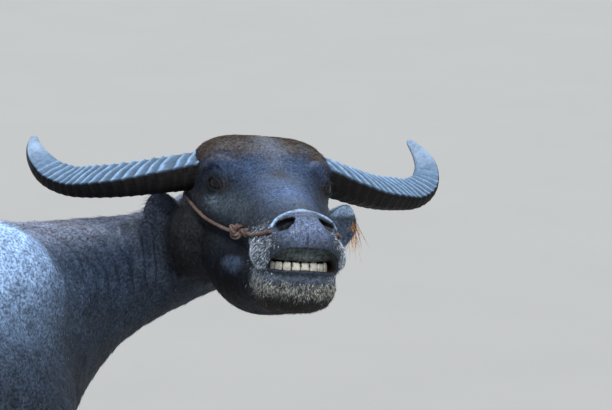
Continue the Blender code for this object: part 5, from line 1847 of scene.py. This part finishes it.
class Finish:
    """A Principled material and short ways to wire its nodes."""

    def __init__(self, name, **constants):
        self.made = bpy.data.materials.new(name)
        self.made.use_nodes = True
        self.tree = self.made.node_tree
        self.shader = self.tree.nodes["Principled BSDF"]
        for key, value in constants.items():
            self.shader.inputs[key.replace("_", " ")].default_value = value

    def add(self, kind, settings=None, **inputs):
        node = self.tree.nodes.new("ShaderNode" + kind)
        for key, value in (settings or {}).items():
            setattr(node, key, value)
        for key, value in inputs.items():
            self.feed(node.inputs[key.replace("_", " ")], value)
        return node

    def feed(self, socket, value):
        if isinstance(value, bpy.types.NodeSocket):
            self.tree.links.new(value, socket)
        else:
            socket.default_value = value

    def math(self, operation, first, second=0.0):
        node = self.tree.nodes.new("ShaderNodeMath")
        node.operation = operation
        self.feed(node.inputs[0], first)
        self.feed(node.inputs[1], second)
        return node.outputs[0]

    def ranged(self, value, low, high, to_low, to_high):
        node = self.add("MapRange", Value=value)
        for key, number in (("From Min", low), ("From Max", high), ("To Min", to_low), ("To Max", to_high)):
            node.inputs[key].default_value = number
        return node.outputs[0]

    def shaded(self, colour, amount):
        """The colour made lighter or darker by an amount round 1."""
        return self.add("VectorMath", {"operation": "SCALE"}, Vector=colour, Scale=amount).outputs[0]

    def read(self, name):
        return self.add("Attribute", {"attribute_name": name}).outputs

    def tinted(self, amount):
        """The piece's own colours, made lighter or darker."""
        return self.shaded(self.read("tint")["Color"], amount)

    def place(self, scale=(1, 1, 1)):
        where = self.add("TexCoord").outputs["Object"]
        return self.add("Mapping", Vector=where, Scale=scale).outputs[0]

    def noise(self, scale, detail=3.0, stretch=(1, 1, 1), rough=0.5):
        node = self.add("TexNoise", Vector=self.place(stretch), Scale=scale, Detail=detail, Roughness=rough)
        return node.outputs[0]

    def cells(self, scale, stretch=(1, 1, 1)):
        edges = {"feature": "DISTANCE_TO_EDGE"}
        return self.add("TexVoronoi", edges, Vector=self.place(stretch), Scale=scale).outputs["Distance"]

    def bump(self, height, distance, below=None):
        node = self.add("Bump", Height=height, Distance=distance, Strength=1.0)
        if below is not None:
            self.feed(node.inputs["Normal"], below)
        return node.outputs[0]

    def wear(self, colour=None, roughness=None, normal=None):
        for key, value in (("Base Color", colour), ("Roughness", roughness), ("Normal", normal)):
            if value is not None:
                self.feed(self.shader.inputs[key], value)
        return self.made


def hide_finish():
    """Wet blue-black skin: fine crossing wrinkles where bare, the lie of hair, pebbles on the muzzle."""
    f = Finish("hide_skin", Coat_Roughness=0.25)
    f.shader.inputs["Specular Tint"].default_value = (0.72, 0.86, 1.0, 1)
    wet, pebbled, bare = (f.read(name)["Fac"] for name in ("wet", "pebbled", "bare"))
    f.feed(f.shader.inputs["Specular IOR Level"], f.ranged(wet, 0, 1, 0.14, 0.48))
    f.feed(f.shader.inputs["Coat Weight"], f.ranged(wet, 0, 1, 0.0, 0.16))
    mottle = f.noise(30, 5, rough=0.62)
    speck = f.noise(420, 2)
    flecks = f.noise(190, 2, rough=0.6)
    tone = f.math("MULTIPLY", f.ranged(mottle, 0.3, 0.7, 0.62, 1.4), f.ranged(speck, 0.3, 0.7, 0.75, 1.25))
    tone = f.math("MULTIPLY", tone, f.ranged(flecks, 0.36, 0.64, 0.52, 1.6))
    # On the muzzle the colour is lighter on the pebbles and dark in the grooves between them: painted
    # highlight and painted shade
    network = f.ranged(f.math("MULTIPLY", f.cells(400), pebbled), 0.0, 0.3, 0.0, 1.1)
    tone = f.math("MULTIPLY", tone, f.math("ADD", network, f.ranged(pebbled, 0, 1, 1.0, 0.45)))
    colour = f.tinted(tone)
    fine = f.math("MINIMUM", f.cells(230, (1, 1, 1.8)), 0.12)
    strands = f.noise(330, 3, stretch=(1.0, 1.0, 0.3), rough=0.6)
    grain = f.noise(900, 2)
    pebble = f.math("MULTIPLY", f.math("MINIMUM", f.cells(400), 0.34), pebbled)
    normal = f.bump(f.math("MULTIPLY", fine, bare), 0.004)
    for height, depth in ((flecks, 0.0016), (strands, 0.0016), (grain, 0.0004), (pebble, 0.0034)):
        normal = f.bump(height, depth, normal)
    rough = f.ranged(wet, 0, 1, 0.55, 0.42)
    rough = f.math("ADD", rough, f.ranged(mottle, 0.3, 0.7, -0.08, 0.1))
    return f.wear(colour, rough, normal)


def hair_finish():
    f = Finish("coat_hair", Specular_IOR_Level=0.24)
    tone = f.ranged(f.noise(200, 2), 0.36, 0.64, 0.38, 1.95)
    return f.wear(f.tinted(tone), f.ranged(f.noise(60), 0.3, 0.7, 0.48, 0.66))


def horn_finish():
    """Dull ridged horn with fine flakes and a fine grain."""
    f = Finish("horn", Specular_IOR_Level=0.09)
    flakes = f.noise(130, 5, rough=0.65)
    dust = f.noise(38, 3)
    tone = f.math("MULTIPLY", f.ranged(flakes, 0.3, 0.7, 0.72, 1.28), f.ranged(dust, 0.3, 0.7, 0.82, 1.18))
    normal = f.bump(flakes, 0.0014)
    normal = f.bump(f.noise(620, 2), 0.0005, normal)
    return f.wear(f.tinted(tone), f.ranged(flakes, 0.3, 0.7, 0.44, 0.66), normal)


def eye_finish():
    f = Finish("eye", Specular_IOR_Level=0.27)
    streaks = f.noise(900, 3)
    return f.wear(f.tinted(f.ranged(streaks, 0.3, 0.7, 0.75, 1.25)), 0.06)


def tooth_finish():
    f = Finish("tooth", Coat_Weight=0.35, Coat_Roughness=0.12, Subsurface_Weight=0.0)
    flecks = f.noise(380, 4)
    normal = f.bump(flecks, 0.0004)
    return f.wear(f.tinted(f.ranged(flecks, 0.3, 0.7, 0.86, 1.12)), 0.3, normal)


def rope_finish():
    """Worn laid cord: reddish brown with pale frayed fibres."""
    f = Finish("rope")
    fray = f.noise(520, 4, rough=0.7)
    stain = f.noise(34, 3)
    mix = f.add("Mix", {"data_type": "RGBA"})
    f.feed(mix.inputs[0], f.ranged(stain, 0.35, 0.65, 0.0, 1.0))
    mix.inputs[6].default_value = ROPE_RED
    mix.inputs[7].default_value = ROPE_PALE
    colour = f.shaded(mix.outputs[2], f.ranged(fray, 0.3, 0.7, 0.6, 1.4))
    return f.wear(colour, f.ranged(fray, 0.3, 0.7, 0.7, 0.92), f.bump(fray, 0.0012))


def claw_finish():
    f = Finish("claw")
    lines = f.noise(90, 4, stretch=(0.5, 0.5, 4.0))
    normal = f.bump(lines, 0.002)
    return f.wear(f.tinted(f.ranged(lines, 0.3, 0.7, 0.7, 1.3)), 0.55, normal)


FINISHES = {
    "hide": hide_finish(),
    "hair": hair_finish(),
    "horn": horn_finish(),
    "eye": eye_finish(),
    "tooth": tooth_finish(),
    "rope": rope_finish(),
    "claw": claw_finish(),
}


def skin():
    """One skin for all the flesh: folds, lids and ears, then its colours."""
    made = body_flesh()
    made.name = "skin"
    for step in (sculpt, thin_out, refine_head, sculpt_face, open_eyes, add_ears, mark_hide):
        step(made)
    made.data.materials.clear()
    return made


def sky_light(name, way, strength, wide, colour):
    """A far, broad, soft light that shines from the given way."""
    data = bpy.data.lights.new(name, "SUN")
    data.energy = strength
    data.angle = math.radians(wide)
    data.color = colour
    linked(name, data).rotation_euler = way.to_track_quat("Z", "Y").to_euler()


def floor():
    """A plain pale floor."""
    bm = bmesh.new()
    bmesh.ops.create_grid(bm, x_segments=1, y_segments=1, size=FLOOR_SIZE)
    obj = object_from("floor", bm)
    f = Finish("floor")
    f.wear(f.shaded(FLOOR_COLOUR, f.ranged(f.noise(2.0), 0.3, 0.7, 0.985, 1.015)), 0.9)
    obj.data.materials.append(f.made)


def sky():
    """An even soft sky; its colours are shown as they are."""
    world = bpy.data.worlds.new("soft sky")
    bpy.context.scene.world = world
    world.use_nodes = True
    inputs = world.node_tree.nodes["Background"].inputs
    inputs[0].default_value = SKY_COLOUR
    inputs[1].default_value = SKY_STRENGTH
    bpy.context.scene.view_settings.view_transform = "Standard"


def photo_camera(toward, right, up):
    """The camera that sees the eyes' middle at the photo's pixel."""
    metres_per_pixel = VIEW_DISTANCE / PIXELS_PER_RADIAN
    aim = EYES_HERE + right * (PHOTO_SIZE[0] / 2 - EYES_PIXEL[0]) * metres_per_pixel
    aim -= up * (PHOTO_SIZE[1] / 2 - EYES_PIXEL[1]) * metres_per_pixel
    data = bpy.data.cameras.new("photo view")
    data.sensor_width = SENSOR
    data.lens = PIXELS_PER_RADIAN * SENSOR / PHOTO_SIZE[0]
    data.clip_end = 200
    camera = linked("photo view", data)
    camera.location = EYES_HERE + toward * VIEW_DISTANCE
    camera.rotation_euler = (camera.location - aim).to_track_quat("Z", "Y").to_euler()
    bpy.context.scene.camera = camera


def studio():
    """Floor, sky, the light from above and from behind, and the photo's camera."""
    floor()
    sky()
    rise = math.cos(VIEW_RISE)
    toward = Vector((rise * math.cos(VIEW_TURN), rise * math.sin(VIEW_TURN), math.sin(VIEW_RISE)))
    right = Vector((-math.sin(VIEW_TURN), math.cos(VIEW_TURN), 0))
    flat = Vector((toward.x, toward.y, 0)).normalized()
    sky_light("sky above", Vector((0, 0, 1)) + flat * 0.78 + right * 0.05, *LIGHT_ABOVE)
    sky_light("sky behind", Vector((0, 0, 0.6)) - flat, *LIGHT_BEHIND)
    photo_camera(toward, right, toward.cross(right))


FLESH_NODES = ["torso", "neck", "head", "lower_jaw", "ear_right", "ear_left", "tail"]
FLESH_NODES += [row[0] + end for row in LEGS for end in ("_upper", "_lower")]


def main():
    flesh = skin()
    nose_rope(flesh)
    hide = Hide(flesh)
    coat(hide)
    tail_switch(hide)
    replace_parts(finished(flesh, "hide"), *FLESH_NODES)
    teeth()
    horn("horn_right", RIGHT_HORN, -1, 7)
    horn("horn_left", LEFT_HORN, 1, 8)
    eyeball("eye_right", -1)
    eyeball("eye_left", 1)
    for leg_name, table, forward, side in LEGS:
        for outside, label in ((1, "outer"), (-1, "inner")):
            claw(leg_name.replace("leg", "claw") + "_" + label, forward, side, table[-1][1], outside)
    studio()


main()
